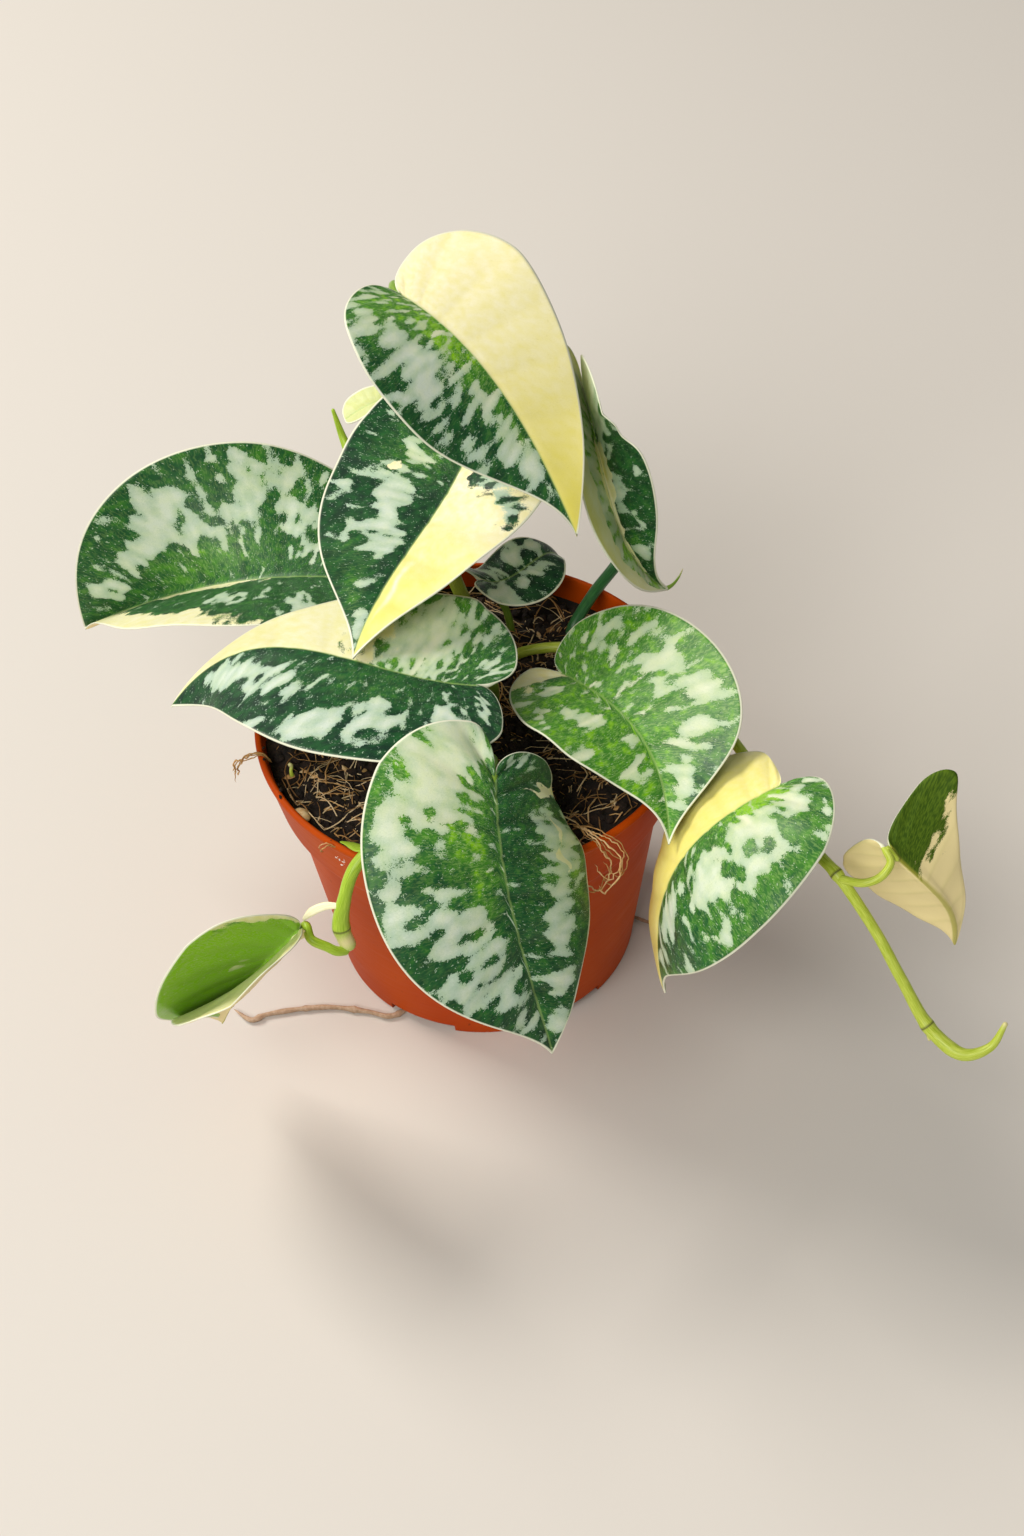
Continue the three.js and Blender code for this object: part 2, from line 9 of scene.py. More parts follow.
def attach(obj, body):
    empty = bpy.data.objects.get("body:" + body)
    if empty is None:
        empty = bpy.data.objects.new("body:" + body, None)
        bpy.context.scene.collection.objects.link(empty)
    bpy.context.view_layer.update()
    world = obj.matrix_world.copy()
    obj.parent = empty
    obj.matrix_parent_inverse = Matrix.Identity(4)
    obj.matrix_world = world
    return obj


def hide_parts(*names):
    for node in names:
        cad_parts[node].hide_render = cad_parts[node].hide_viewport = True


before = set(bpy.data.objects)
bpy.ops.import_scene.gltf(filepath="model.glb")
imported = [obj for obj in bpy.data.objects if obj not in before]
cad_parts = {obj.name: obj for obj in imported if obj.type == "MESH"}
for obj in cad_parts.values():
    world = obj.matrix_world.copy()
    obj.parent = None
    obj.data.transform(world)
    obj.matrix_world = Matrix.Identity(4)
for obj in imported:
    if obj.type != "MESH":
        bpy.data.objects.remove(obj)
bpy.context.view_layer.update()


# The studio: a pale paper floor, one broad soft lamp high at the back left, a weaker one in
# front, and an even pale light from all round that fills the shadows. The camera looks down
# at 47 degrees and is turned a little about its own axis, as in the photograph.
CAMERA_HEIGHT_ANGLE = math.radians(47.3)
CAMERA_TURN = math.radians(-3.45)
CAMERA_DISTANCE = 0.752
LOOKED_AT = np.array([0.010, 0.060, 0.0])


def rgb(code):
    """sRGB hex to linear red, green, blue and an opaque alpha."""
    parts = [int(code[i:i + 2], 16) / 255 for i in (1, 3, 5)]
    return tuple(p / 12.92 if p <= 0.04045 else ((p + 0.055) / 1.055) ** 2.4 for p in parts) + (1.0,)


def add(tree, kind, inputs=(), out=0, stops=(), **settings):
    """Adds one shader node with its settings and links. The inputs come by name or in order, each
    a value, a colour's hex code or another node's output; stops are a colour ramp's places, each
    with a hex code or a grey. A Mix node has its colour sockets further down than its factor.
    Returns the output asked for, or all of them for None."""
    item = tree.nodes.new("ShaderNode" + kind)
    places = range(len(item.inputs))
    if kind == "Mix":
        item.data_type, places, out = "RGBA", (0, 6, 7), 2
    for key, value in settings.items():
        setattr(item, key, value)
    for key, value in inputs.items() if isinstance(inputs, dict) else zip(places, inputs):
        if isinstance(value, bpy.types.NodeSocket):
            tree.links.new(value, item.inputs[key])
        else:
            item.inputs[key].default_value = rgb(value) if isinstance(value, str) else value
    for k, (place, colour) in enumerate(stops):
        ramp = item.color_ramp.elements
        stop = ramp[k] if k < 2 else ramp.new(place)
        stop.position = place
        stop.color = rgb(colour) if isinstance(colour, str) else (colour, colour, colour, 1)
    return item.outputs if out is None else item.outputs[out]


def material(name):
    """A new node material and its tree, emptied."""
    made = bpy.data.materials.new(name)
    made.use_nodes = True
    made.node_tree.nodes.clear()
    return made, made.node_tree


def finish_material(tree, surface):
    """Ends a material with its one surface shader, which has the given inputs."""
    add(tree, "OutputMaterial", {"Surface": add(tree, "BsdfPrincipled", surface)}, out=None)


def make_object(name, points, faces, smooth=True):
    """A mesh object from arrays of points, in metres, and faces as rows of point numbers."""
    mesh = bpy.data.meshes.new(name)
    mesh.from_pydata(points.tolist(), [], faces.tolist() if hasattr(faces, "tolist") else faces)
    mesh.polygons.foreach_set("use_smooth", np.full(len(mesh.polygons), smooth))
    made = bpy.data.objects.new(name, mesh)
    bpy.context.scene.collection.objects.link(made)
    return made


def weld(made, distance=2e-6):
    """Closes poles and seams by merging points that lie on each other."""
    net = bmesh.new()
    net.from_mesh(made.data)
    bmesh.ops.remove_doubles(net, verts=net.verts, dist=distance)
    bmesh.ops.dissolve_degenerate(net, edges=net.edges, dist=distance / 4)
    net.to_mesh(made.data)
    net.free()


def grid_faces(rows, columns, wrap=False, start=0):
    """Four-sided faces of a grid of rows x columns points; wrap joins the last column to the first."""
    i, j = np.meshgrid(np.arange(rows - 1), np.arange(columns if wrap else columns - 1), indexing="ij")
    i, j = i.ravel(), j.ravel()
    k, low, high = (j + 1) % columns, i * columns, (i + 1) * columns
    return np.stack([low + j, high + j, high + k, low + k], -1) + start


floor_corners = np.array([[-2, -2, 0], [2, -2, 0], [2, 2.5, 0], [-2, 2.5, 0]], float)
floor = make_object("floor", floor_corners, [(0, 1, 2, 3)])
# Uncoated paper: matt and even, with a tooth about a millimetre across
paper, tree = material("pale_paper_floor")
tooth = add(tree, "TexNoise", {"Scale": 900.0, "Detail": 3.0})
finish_material(tree, {
    "Base Color": "#d9d5cf", "Roughness": 0.85,
    "Normal": add(tree, "Bump", {"Strength": 0.08, "Distance": 0.0003, "Height": tooth}),
})
floor.data.materials.append(paper)


def lamp(name, place, aim, size, watts, colour):
    """A square soft box that faces the point it is aimed at."""
    light = bpy.data.lights.new(name, "AREA")
    light.shape, light.size, light.energy, light.color = "SQUARE", size, watts, rgb(colour)[:3]
    made = bpy.data.objects.new(name, light)
    bpy.context.scene.collection.objects.link(made)
    back = np.array(place) - np.array(aim)
    back /= np.linalg.norm(back)
    side = np.cross((0, 0, 1), back)
    side /= np.linalg.norm(side)
    rows = np.stack([side, np.cross(back, side), back, place], 1).tolist()
    made.matrix_world = Matrix([*rows, [0, 0, 0, 1]])


lamp("lamp_back_left", (-0.95, 0.75, 1.25), (0, 0, 0.1), 0.7, 22, "#fff8ee")
lamp("lamp_front_left", (-0.6, -0.95, 1.15), (0, 0, 0.1), 0.9, 16, "#fffbf5")
room = bpy.data.worlds.new("room")
room.use_nodes = True
fill_light = room.node_tree.nodes["Background"].inputs
fill_light["Color"].default_value = rgb("#ece9e4")
fill_light["Strength"].default_value = 0.26
bpy.context.scene.world = room

back = np.array([0, -math.cos(CAMERA_HEIGHT_ANGLE), math.sin(CAMERA_HEIGHT_ANGLE)])
level_up = np.array([0, math.sin(CAMERA_HEIGHT_ANGLE), math.cos(CAMERA_HEIGHT_ANGLE)])
level_right = np.array([1.0, 0, 0])
right = math.cos(CAMERA_TURN) * level_right + math.sin(CAMERA_TURN) * level_up
up = math.cos(CAMERA_TURN) * level_up - math.sin(CAMERA_TURN) * level_right
eye = LOOKED_AT + CAMERA_DISTANCE * back
camera = bpy.data.objects.new("camera", bpy.data.cameras.new("camera"))
camera.data.lens = 55
camera.data.sensor_width = 36
camera.data.clip_start = 0.01
camera.matrix_world = Matrix([*np.stack([right, up, back, eye], 1).tolist(), [0, 0, 0, 1]])
bpy.context.scene.collection.objects.link(camera)
bpy.context.scene.camera = camera
bpy.context.scene.view_settings.view_transform = "Standard"


# The pot: one injection-moulded polypropylene nursery pot. A lip rolls over the top of a
# plain collar, the wall tapers below it, and the pot stands on a foot ring with a notch
# over each drain hole.
POT_HEIGHT = 0.090
FOOT_RING = (0.0404, 0.0446)
NOTCH_ANGLES = np.radians(np.arange(62, 422, 60))
NOTCH_HALF = math.radians(13.5)
NOTCH_HEIGHT = 0.0028
HOLE_CIRCLE = 0.032
HOLE_RADIUS = 0.0035
HOLE_SIDES = 32
OUT_OF_ROUND = 0.0012


def rounded(corners, radii, steps=6):
    """A profile of (radius, height) with each corner cut by an arc: a quadratic curve from
    radii before the corner to radii after it, pulled towards the corner."""
    corners = np.asarray(corners, float)
    t = np.linspace(0, 1, steps)[:, None]
    out = [corners[:1]]
    for before, corner, after, r in zip(corners[:-2], corners[1:-1], corners[2:], radii):
        a = corner + (before - corner) * min(r / np.linalg.norm(before - corner), 0.5)
        b = corner + (after - corner) * min(r / np.linalg.norm(after - corner), 0.5)
        out.append((1 - t) ** 2 * a + 2 * t * (1 - t) * corner + t ** 2 * b)
    return np.concatenate(out + [corners[-1:]])


def about_axis(radius, angle, height):
    """Points at a radius and an angle about the pot's axis, at a height."""
    return np.stack(np.broadcast_arrays(radius * np.cos(angle), radius * np.sin(angle), height), -1)


# From the middle of the underside, out over the foot ring, up the wall and collar, over the
# lip, down the inside and back to the middle, in millimetres
pot_corners = [
    (0, 0), (24, 0), (26, 3.2), (40.5, 3.2), (40.5, 0), (44, 0), (44.5, 4.5), (52.6, 66), (56, 70.2),
    (56.4, 71.4), (59.3, 87), (60, 88), (60, 89.4), (59.2, 90), (58.4, 89.9), (57.9, 88.6), (54.5, 71),
    (51, 66.5), (43, 4.8), (25, 4.8), (23, 1.6), (0, 1.6),
]
pot_radii = [0.5, 0.8, 0.8, 0.5, 0.8, 1.5, 3, 1.6, 0.7, 0.5, 0.8, 0.6, 0.5, 0.5, 0.6, 2, 2, 1.5, 0.8, 0.8]
pot_profile = rounded(pot_corners, pot_radii) / 1000
edges = np.concatenate([NOTCH_ANGLES - NOTCH_HALF, NOTCH_ANGLES + NOTCH_HALF])
turns = np.unique(np.concatenate([np.radians(np.arange(0, 360, 1.5)), (edges - 1e-3) % (2 * np.pi),
                                  (edges + 1e-3) % (2 * np.pi)]))
r, z = pot_profile[:, :1], pot_profile[:, 1:]
from_notch = np.abs((turns[:, None] - NOTCH_ANGLES + np.pi) % (2 * np.pi) - np.pi).min(1)[None]
over_ring = (r > FOOT_RING[0]) & (r < FOOT_RING[1]) & (z < NOTCH_HEIGHT)
pot_z = np.where(over_ring & (from_notch < NOTCH_HALF), NOTCH_HEIGHT, z + 0 * from_notch)
# A moulded wall is never quite round: it bows by a few hundredths of a millimetre
bow = 1 + OUT_OF_ROUND * np.sin(2 * turns + 0.7)[None] * (z / POT_HEIGHT)
pot_points = about_axis(r * bow, turns, pot_z).reshape(-1, 3)
pot = make_object("pot_shell", pot_points, grid_faces(len(r), len(turns), wrap=True)[:, ::-1])
weld(pot, 1e-5)

# A drain hole behind each notch, bored by a round prism that reaches through the floor
around = np.linspace(0, 2 * np.pi, HOLE_SIDES + 1)[:-1]
drill_points, drill_faces = [], []
for k, angle in enumerate(NOTCH_ANGLES):
    ring = about_axis(HOLE_RADIUS, around, 0.0) + about_axis(HOLE_CIRCLE, angle, 0.0)
    drill_points += [ring + (0, 0, -0.001), ring + (0, 0, 0.007)]
    low = 2 * HOLE_SIDES * k
    high = low + HOLE_SIDES
    drill_faces += grid_faces(2, HOLE_SIDES, wrap=True, start=low).tolist()
    drill_faces += [list(range(low, high)), list(range(high + HOLE_SIDES - 1, high - 1, -1))]
drill = make_object("drain_holes", np.concatenate(drill_points), drill_faces)
cut = pot.modifiers.new("drain_holes", "BOOLEAN")
cut.object, cut.operation, cut.solver = drill, "DIFFERENCE", "EXACT"
bpy.context.view_layer.update()
cut_mesh = bpy.data.meshes.new_from_object(pot.evaluated_get(bpy.context.evaluated_depsgraph_get()))
pot.modifiers.clear()
pot.data = cut_mesh
bpy.data.objects.remove(drill)

# Terracotta-coloured polypropylene, moulded with a fine satin grain: the scraped places are
# paler and duller, and fine dust and dried peat cling to it in upright streaks
plastic, tree = material("terracotta_polypropylene_moulded")
place = add(tree, "TexCoord", out="Object")
stretched = add(tree, "Mapping", {"Vector": place, "Scale": (60.0, 60.0, 900.0)})
upright = add(tree, "Mapping", {"Vector": place, "Scale": (500.0, 500.0, 25.0)})
flow = add(tree, "TexNoise", {"Vector": place, "Scale": 22.0, "Detail": 3.0})
scrapes = add(tree, "TexNoise", {"Vector": stretched, "Scale": 1.0, "Detail": 5.0, "Roughness": 0.7})
streaks = add(tree, "TexNoise", {"Vector": upright, "Scale": 1.0, "Detail": 4.0, "Roughness": 0.6})
specks = add(tree, "TexNoise", {"Vector": place, "Scale": 650.0, "Detail": 2.0})
base = add(tree, "ValToRGB", {"Fac": flow}, stops=[(0.3, "#ad3a03"), (0.7, "#c65005")])
pale = add(tree, "ValToRGB", {"Fac": scrapes}, stops=[(0.62, 0), (0.72, 0.14)])
scraped = add(tree, "Mix", [pale, base, "#d9834a"])
dust = add(tree, "ValToRGB", {"Fac": specks}, stops=[(0.66, 0), (0.72, 1)])
cover = add(tree, "ValToRGB", {"Fac": streaks}, stops=[(0.52, 0), (0.66, 0.6)])
dirt = add(tree, "Math", [dust, cover], operation="MULTIPLY")
dusty = add(tree, "Mix", [dirt, scraped, "#4a2a1a"])
dull = add(tree, "MapRange", [scrapes, 0.35, 0.75, 0.46, 0.6])
grain = add(tree, "TexNoise", {"Vector": place, "Scale": 2500.0, "Detail": 1.0})
fine = add(tree, "Bump", {"Strength": 0.12, "Distance": 0.0001, "Height": grain})
marks = add(tree, "Bump", {"Strength": 0.15, "Distance": 0.0002, "Height": scrapes, "Normal": fine})
finish_material(tree, {
    "Base Color": dusty, "Roughness": dull, "IOR": 1.49, "Specular IOR Level": 0.1, "Normal": marks,
})
pot.data.materials.clear()
pot.data.materials.append(plastic)
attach(pot, "root")
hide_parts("pot")


# The soil: damp peat with coir fibre and bark, filled to just under the lip and lumpy from
# watering. The crumbs and the loose fibres and chips on top are pieces of their own.
SOIL_EDGE = 0.0575
SOIL_MIDDLE = 0.0845
dice = np.random.default_rng(20)


def value_noise(x, y, size, seed):
    """Smooth random heights between 0 and 1: random values at the corners of squares of the
    given size, blended across each square by a cubic ease."""
    table = np.random.default_rng(seed).random((64, 64))
    gx, gy = x / size + 30, y / size + 30
    ix, iy = np.floor(gx).astype(int), np.floor(gy).astype(int)
    fx, fy = gx - ix, gy - iy
    fx, fy = fx * fx * (3 - 2 * fx), fy * fy * (3 - 2 * fy)
    a, b = table[ix % 64, iy % 64], table[(ix + 1) % 64, iy % 64]
    c, d = table[ix % 64, (iy + 1) % 64], table[(ix + 1) % 64, (iy + 1) % 64]
    return (a * (1 - fx) + b * fx) * (1 - fy) + (c * (1 - fx) + d * fx) * fy


def soil_height(x, y):
    """A slope from front to back with soft lumps, as the solid has."""
    mx, my = x * 1000, y * 1000
    lumps = np.sin(mx * 0.31 + 1.3) * np.cos(my * 0.27) + 0.6 * np.sin(mx * 0.13 - my * 0.41)
    return SOIL_MIDDLE - 0.055 * y + 0.0011 * lumps


def crumbs(x, y):
    """Crumbs of peat: ridged noise at 6, 3, 1.5 and 0.8 mm, each a little over half as high as the last."""
    total = 0
    for k, size in enumerate((0.006, 0.003, 0.0015, 0.0008)):
        total = total + (1 - np.abs(2 * value_noise(x, y, size, 40 + k) - 1)) * 0.0017 / 1.75 ** k
    return total - 0.0022


across = np.linspace(0, 1, 150) ** 0.8 * SOIL_EDGE
around = np.linspace(0, 2 * np.pi, 421)[:-1]
x, y = across[:, None] * np.cos(around), across[:, None] * np.sin(around)
top = np.stack([x, y, soil_height(x, y) + crumbs(x, y)], -1)
skirt = np.array([(56.7, 83), (53.5, 70.5), (50, 66), (42.5, 5.6), (0, 5.6)])[:, :, None] / 1000
soil_points = np.concatenate([top, about_axis(skirt[:, 0], around, skirt[:, 1])])
soil_faces = grid_faces(len(soil_points), len(around), wrap=True)
soil = make_object("soil_fill", soil_points.reshape(-1, 3), soil_faces)
weld(soil, 1e-5)

# Damp peat: nearly black and dull, crumbly, with paler hairs of coir in it
peat, tree = material("damp_peat_and_coir")
place = add(tree, "TexCoord", out="Object")
clods = add(tree, "TexNoise", {"Vector": place, "Scale": 260.0, "Detail": 6.0, "Roughness": 0.7})
hairs = add(tree, "TexNoise", {"Vector": place, "Scale": 1400.0, "Detail": 3.0, "Distortion": 2.0})
earth = add(tree, "ValToRGB", {"Fac": clods}, stops=[
    (0.35, "#0d0805"), (0.55, "#22160e"), (0.75, "#46301e")])
bits = add(tree, "ValToRGB", {"Fac": hairs}, stops=[(0.62, 0), (0.72, 0.8)])
fleck = add(tree, "Mix", [bits, earth, "#5d4128"])
rough = add(tree, "Bump", {"Strength": 0.7, "Distance": 0.0006, "Height": hairs})
finish_material(tree, {"Base Color": fleck, "Roughness": 0.9, "Normal": rough})
soil.data.materials.append(peat)
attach(soil, "root")
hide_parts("soil")


def smooth_path(points, count):
    """Evenly spaced points on a centripetal Catmull-Rom curve through the given points: on each
    span a cubic that leaves and arrives along directions set by the neighbouring points."""
    p = np.asarray(points, float)
    p = np.concatenate([[2 * p[0] - p[1]], p, [2 * p[-1] - p[-2]]])
    u = np.linspace(0, len(p) - 3, 24 * (len(p) - 3) + 1)
    i = np.minimum(u.astype(int), len(p) - 4)
    t = (u - i)[:, None]
    p0, p1, p2, p3 = p[i], p[i + 1], p[i + 2], p[i + 3]
    d0, d1, d2 = [np.sqrt(np.linalg.norm(b - a, axis=1, keepdims=True))
                  for a, b in ((p0, p1), (p1, p2), (p2, p3))]
    m1 = ((p1 - p0) / d0 - (p2 - p0) / (d0 + d1) + (p2 - p1) / d1) * d1
    m2 = ((p2 - p1) / d1 - (p3 - p1) / (d1 + d2) + (p3 - p2) / d2) * d1
    curve = ((2 * t ** 3 - 3 * t ** 2 + 1) * p1 + (t ** 3 - 2 * t ** 2 + t) * m1
             + (3 * t ** 2 - 2 * t ** 3) * p2 + (t ** 3 - t ** 2) * m2)
    run = np.r_[0, np.cumsum(np.linalg.norm(np.diff(curve, axis=0), axis=1))]
    even = np.linspace(0, run[-1], count)
    return np.stack([np.interp(even, run, curve[:, k]) for k in range(3)], -1), even


def tube(points, radii, sides=14, per_mm=1.6, flatten=1.0):
    """A round stalk along a smooth path, in metres from points in millimetres. The section is a
    circle whose radius follows the given radii, evenly spaced along the path, and whose frame
    is squared to the path's own mean plane; flatten squeezes it towards that plane. Each end
    closes by a half-round cap."""
    points = np.asarray(points, float)
    length = np.linalg.norm(np.diff(points, axis=0), axis=1).sum()
    count = max(int(length * per_mm), 8)
    path, run = smooth_path(points, count)
    place = run / run[-1]
    radius = np.interp(place, np.linspace(0, 1, len(radii)), radii)
    cap = 1 - np.clip(1 - run / radius[0], 0, 1) ** 2
    cap = cap * (1 - np.clip(1 - (run[-1] - run) / radius[-1], 0, 1) ** 2)
    radius = radius * np.sqrt(cap)
    forward = np.gradient(path, axis=0)
    forward /= np.linalg.norm(forward, axis=1, keepdims=True)
    flat = np.linalg.svd(path - path.mean(0), full_matrices=False)[2][2]
    side = np.cross(forward, flat)
    side /= np.linalg.norm(side, axis=1, keepdims=True)
    over = np.cross(side, forward) * flatten
    turn = np.linspace(0, 2 * np.pi, sides + 1)[:-1]
    ring = np.cos(turn)[None, :, None] * side[:, None] + np.sin(turn)[None, :, None] * over[:, None]
    grid = path[:, None] + radius[:, None, None] * ring
    around = np.broadcast_to(turn * np.mean(radii), grid.shape[:2])
    return grid / 1000, np.stack([around, np.broadcast_to(run[:, None], grid.shape[:2])], -1)


# The leaves: each is one heart-shaped, leathery blade on its own petiole. A blade is worked
# out flat, one half at a time, then bent along its midrib, folded at it and curled across;
# its side veins are pressed into the upper face, and the midrib stands out below.
ROWS = 110
COLUMNS = 26
ROW_PLACES = np.linspace(0, 1, ROWS + 1)[:, None]
COLUMN_PLACES = np.linspace(0, 1, COLUMNS + 1) ** 0.9
THICKNESS = 0.55
VEINS = 8
VEIN_LEAD = 0.15
QUILTING = 0.42
VEIN_DEPTH = 0.2
GROOVE_DEPTH = 0.45


def bezier(points, t):
    """Cubic Bezier curve: each point weighted by how far t has come."""
    p, s = np.asarray(points, float)[:, None], t[:, None]
    return (1 - s) ** 3 * p[0] + 3 * (1 - s) ** 2 * s * p[1] + 3 * (1 - s) * s * s * p[2] + s ** 3 * p[3]


def straight_length(leaf):
    """Distance from the petiole's end to the tip."""
    return np.linalg.norm(np.array(leaf["tip"], float) - np.array(leaf["base"], float))


def half_outline(length, half):
    """One half of the flat outline, as (along the midrib, out from it): three cubic arcs, from
    the petiole back round the lobe, out to the widest place, and on to the tip; returned at
    even steps along the edge, with the edge's length."""
    lobe, lobe_out, width, widest, belly, taper, tip_angle = half[:7]
    tip_run, tip_turn = taper * (length - widest), math.radians(tip_angle)
    t = np.linspace(0, 1, 120)
    edge = np.concatenate([
        bezier([(0, 0), (-0.65 * lobe, 0.8), (-lobe, 0.45 * lobe_out), (-lobe, lobe_out)], t),
        bezier([(-lobe, lobe_out), (-lobe, 0.45 * lobe_out + 0.55 * width),
                (0.45 * widest - 0.55 * lobe, width), (widest, width)], t)[1:],
        bezier([(widest, width), (widest + belly * (length - widest), width),
                (length - tip_run * math.cos(tip_turn), tip_run * math.sin(tip_turn)), (length, 0)], t)[1:],
    ])
    run = np.r_[0, np.cumsum(np.linalg.norm(np.diff(edge, axis=0), axis=1))]
    even = np.linspace(0, run[-1], ROWS + 1)
    return np.stack([np.interp(even, run, edge[:, k]) for k in range(2)], -1), run[-1]


def midrib(leaf, t):
    """Point, forward direction, upward normal and leftward side of the midrib at t: a cubic
    Bezier from petiole to tip whose two inner knots are lifted by the arch and moved sideways
    by the sweep, with the frame turned evenly by the twist."""
    base, tip = np.array(leaf["base"], float), np.array(leaf["tip"], float)
    length = straight_length(leaf)
    chord = (tip - base) / length
    lift = np.array([0, 0, 1.0]) - chord[2] * chord
    lift /= np.linalg.norm(lift)
    roll = math.radians(leaf["roll"])
    lift = math.cos(roll) * lift + math.sin(roll) * np.cross(chord, lift)
    left = np.cross(lift, chord)
    inner = [base + chord * length * (k + 1) / 3 + lift * leaf["arch"][k] + left * leaf["sweep"][k]
             for k in range(2)]
    knots = np.array([base, *inner, tip])
    t = np.clip(t, 0, 1)
    point, s, k = bezier(knots, t), t[:, None], knots
    forward = (1 - s) ** 2 * (k[1] - k[0]) + 2 * (1 - s) * s * (k[2] - k[1]) + s ** 2 * (k[3] - k[2])
    forward /= np.linalg.norm(forward, axis=1, keepdims=True)
    normal = lift - (forward @ lift)[:, None] * forward
    normal /= np.linalg.norm(normal, axis=1, keepdims=True)
    side = np.cross(normal, forward)
    turn = math.radians(leaf["twist"]) * s
    cos, sin = np.cos(turn), np.sin(turn)
    return point, forward, cos * normal + sin * side, cos * side - sin * normal


def bend_half(leaf, half, sign, u, v):
    """Flat (u, v) of one half to space. Across the blade it starts at the fold angle and turns
    by the curl angle by the time it reaches the widest place, so it is part of a circle."""
    shape = u.shape
    u, v = u.ravel(), v.ravel()
    length = straight_length(leaf)
    point, forward, normal, side = midrib(leaf, u / length)
    start = np.radians(half[7] + leaf["fold_tip"] * np.clip(u / length, 0, 1))
    rate = math.radians(half[8] or 0.01) / half[2]
    out = (np.sin(start + rate * v) - np.sin(start)) / rate
    rise = (np.cos(start) - np.cos(start + rate * v)) / rate
    placed = point + np.minimum(u, 0)[:, None] * forward + rise[:, None] * normal
    placed = placed + (sign * out)[:, None] * side
    return placed.reshape(*shape, 3)


def leaf_half(leaf, half, sign):
    """Grid of one half, rows from the petiole's sinus to the tip along the side veins, columns
    from midrib to edge. Returns points, distance along and out from the midrib, how far along
    the edge each row ends, the distance to the edge, and the distance out along the row, which
    counts more where the rows lie closer, all in millimetres."""
    length = straight_length(leaf)
    edge, edge_run = half_outline(length, half)
    q, r = ROW_PLACES, COLUMN_PLACES[None]
    if sign > 0 and "notch" in leaf:
        at, depth, width = leaf["notch"]
        edge = np.stack([edge[:, 0], edge[:, 1] * (1 - depth * np.exp(-((q[:, 0] - at) / width) ** 2))], -1)
    start = length * q ** 1.8
    bow = r + 0.22 * r * (1 - r) * np.clip((q - 0.2) / 0.3, 0, 1)
    u = start + (edge[:, :1] - start) * bow
    v = edge[:, 1:] * r
    reach = np.hypot(edge[:, :1] - start, edge[:, 1:])
    close = np.clip(length * 1.8 * q ** 0.8 / edge_run, 0.25, 0.97)
    out = reach * np.log1p((1 / close - 1) * r) / (1 - close)
    return bend_half(leaf, half, sign, u, v), u, v, q * edge_run + 0 * r, (1 - r) * reach, out


def leaf_paint(leaf, halves):
    """How much silver, cream and fresh green each place has, from 0 to 1, and how near it is to
    a side vein, on a grid of (right or left half, rows, columns). Each is an even level plus
    soft patches of (row, column, row reach, column reach, amount), all in hundredths, which are
    round until the places are pushed about by smooth noise, a few millimetres each way."""
    q, r = ROW_PLACES, COLUMN_PLACES[None]
    paint = np.zeros((2, ROWS + 1, COLUMNS + 1, 4), np.float32)
    for side, side_name in enumerate(("right", "left")):
        run, out = halves[side][3], halves[side][5]
        x, y = run + 40 * leaf["seed"], out
        for channel, what in enumerate(("silver", "cream", "fresh")):
            level, *patches = leaf.get(side_name + "_" + what, (0,))
            total = np.full((ROWS + 1, COLUMNS + 1), level / 100, float)
            pushed_q = q + (value_noise(x, y, 5, 60 + channel) - 0.5) * 7 / run.max()
            pushed_r = r + (value_noise(x, y, 5, 70 + channel) - 0.5) * 0.2
            for patch in patches:
                at, far, reach, spread, amount = np.array(patch) / 100
                total += amount * np.exp(-((pushed_q - at) / reach) ** 2 - ((pushed_r - far) / spread) ** 2)
            paint[side, ..., channel] = total
        phase = VEINS * q + (VEIN_LEAD if side else -VEIN_LEAD)
        paint[side, ..., 3] = np.exp(-((phase - np.round(phase)) / 0.10) ** 2) * (1 - 0.7 * r)
    return paint


def mark(made, key, values):
    """One number for each point of a piece, for its material to read."""
    made.data.attributes.new(key, "FLOAT", "POINT").data.foreach_set("value", values)


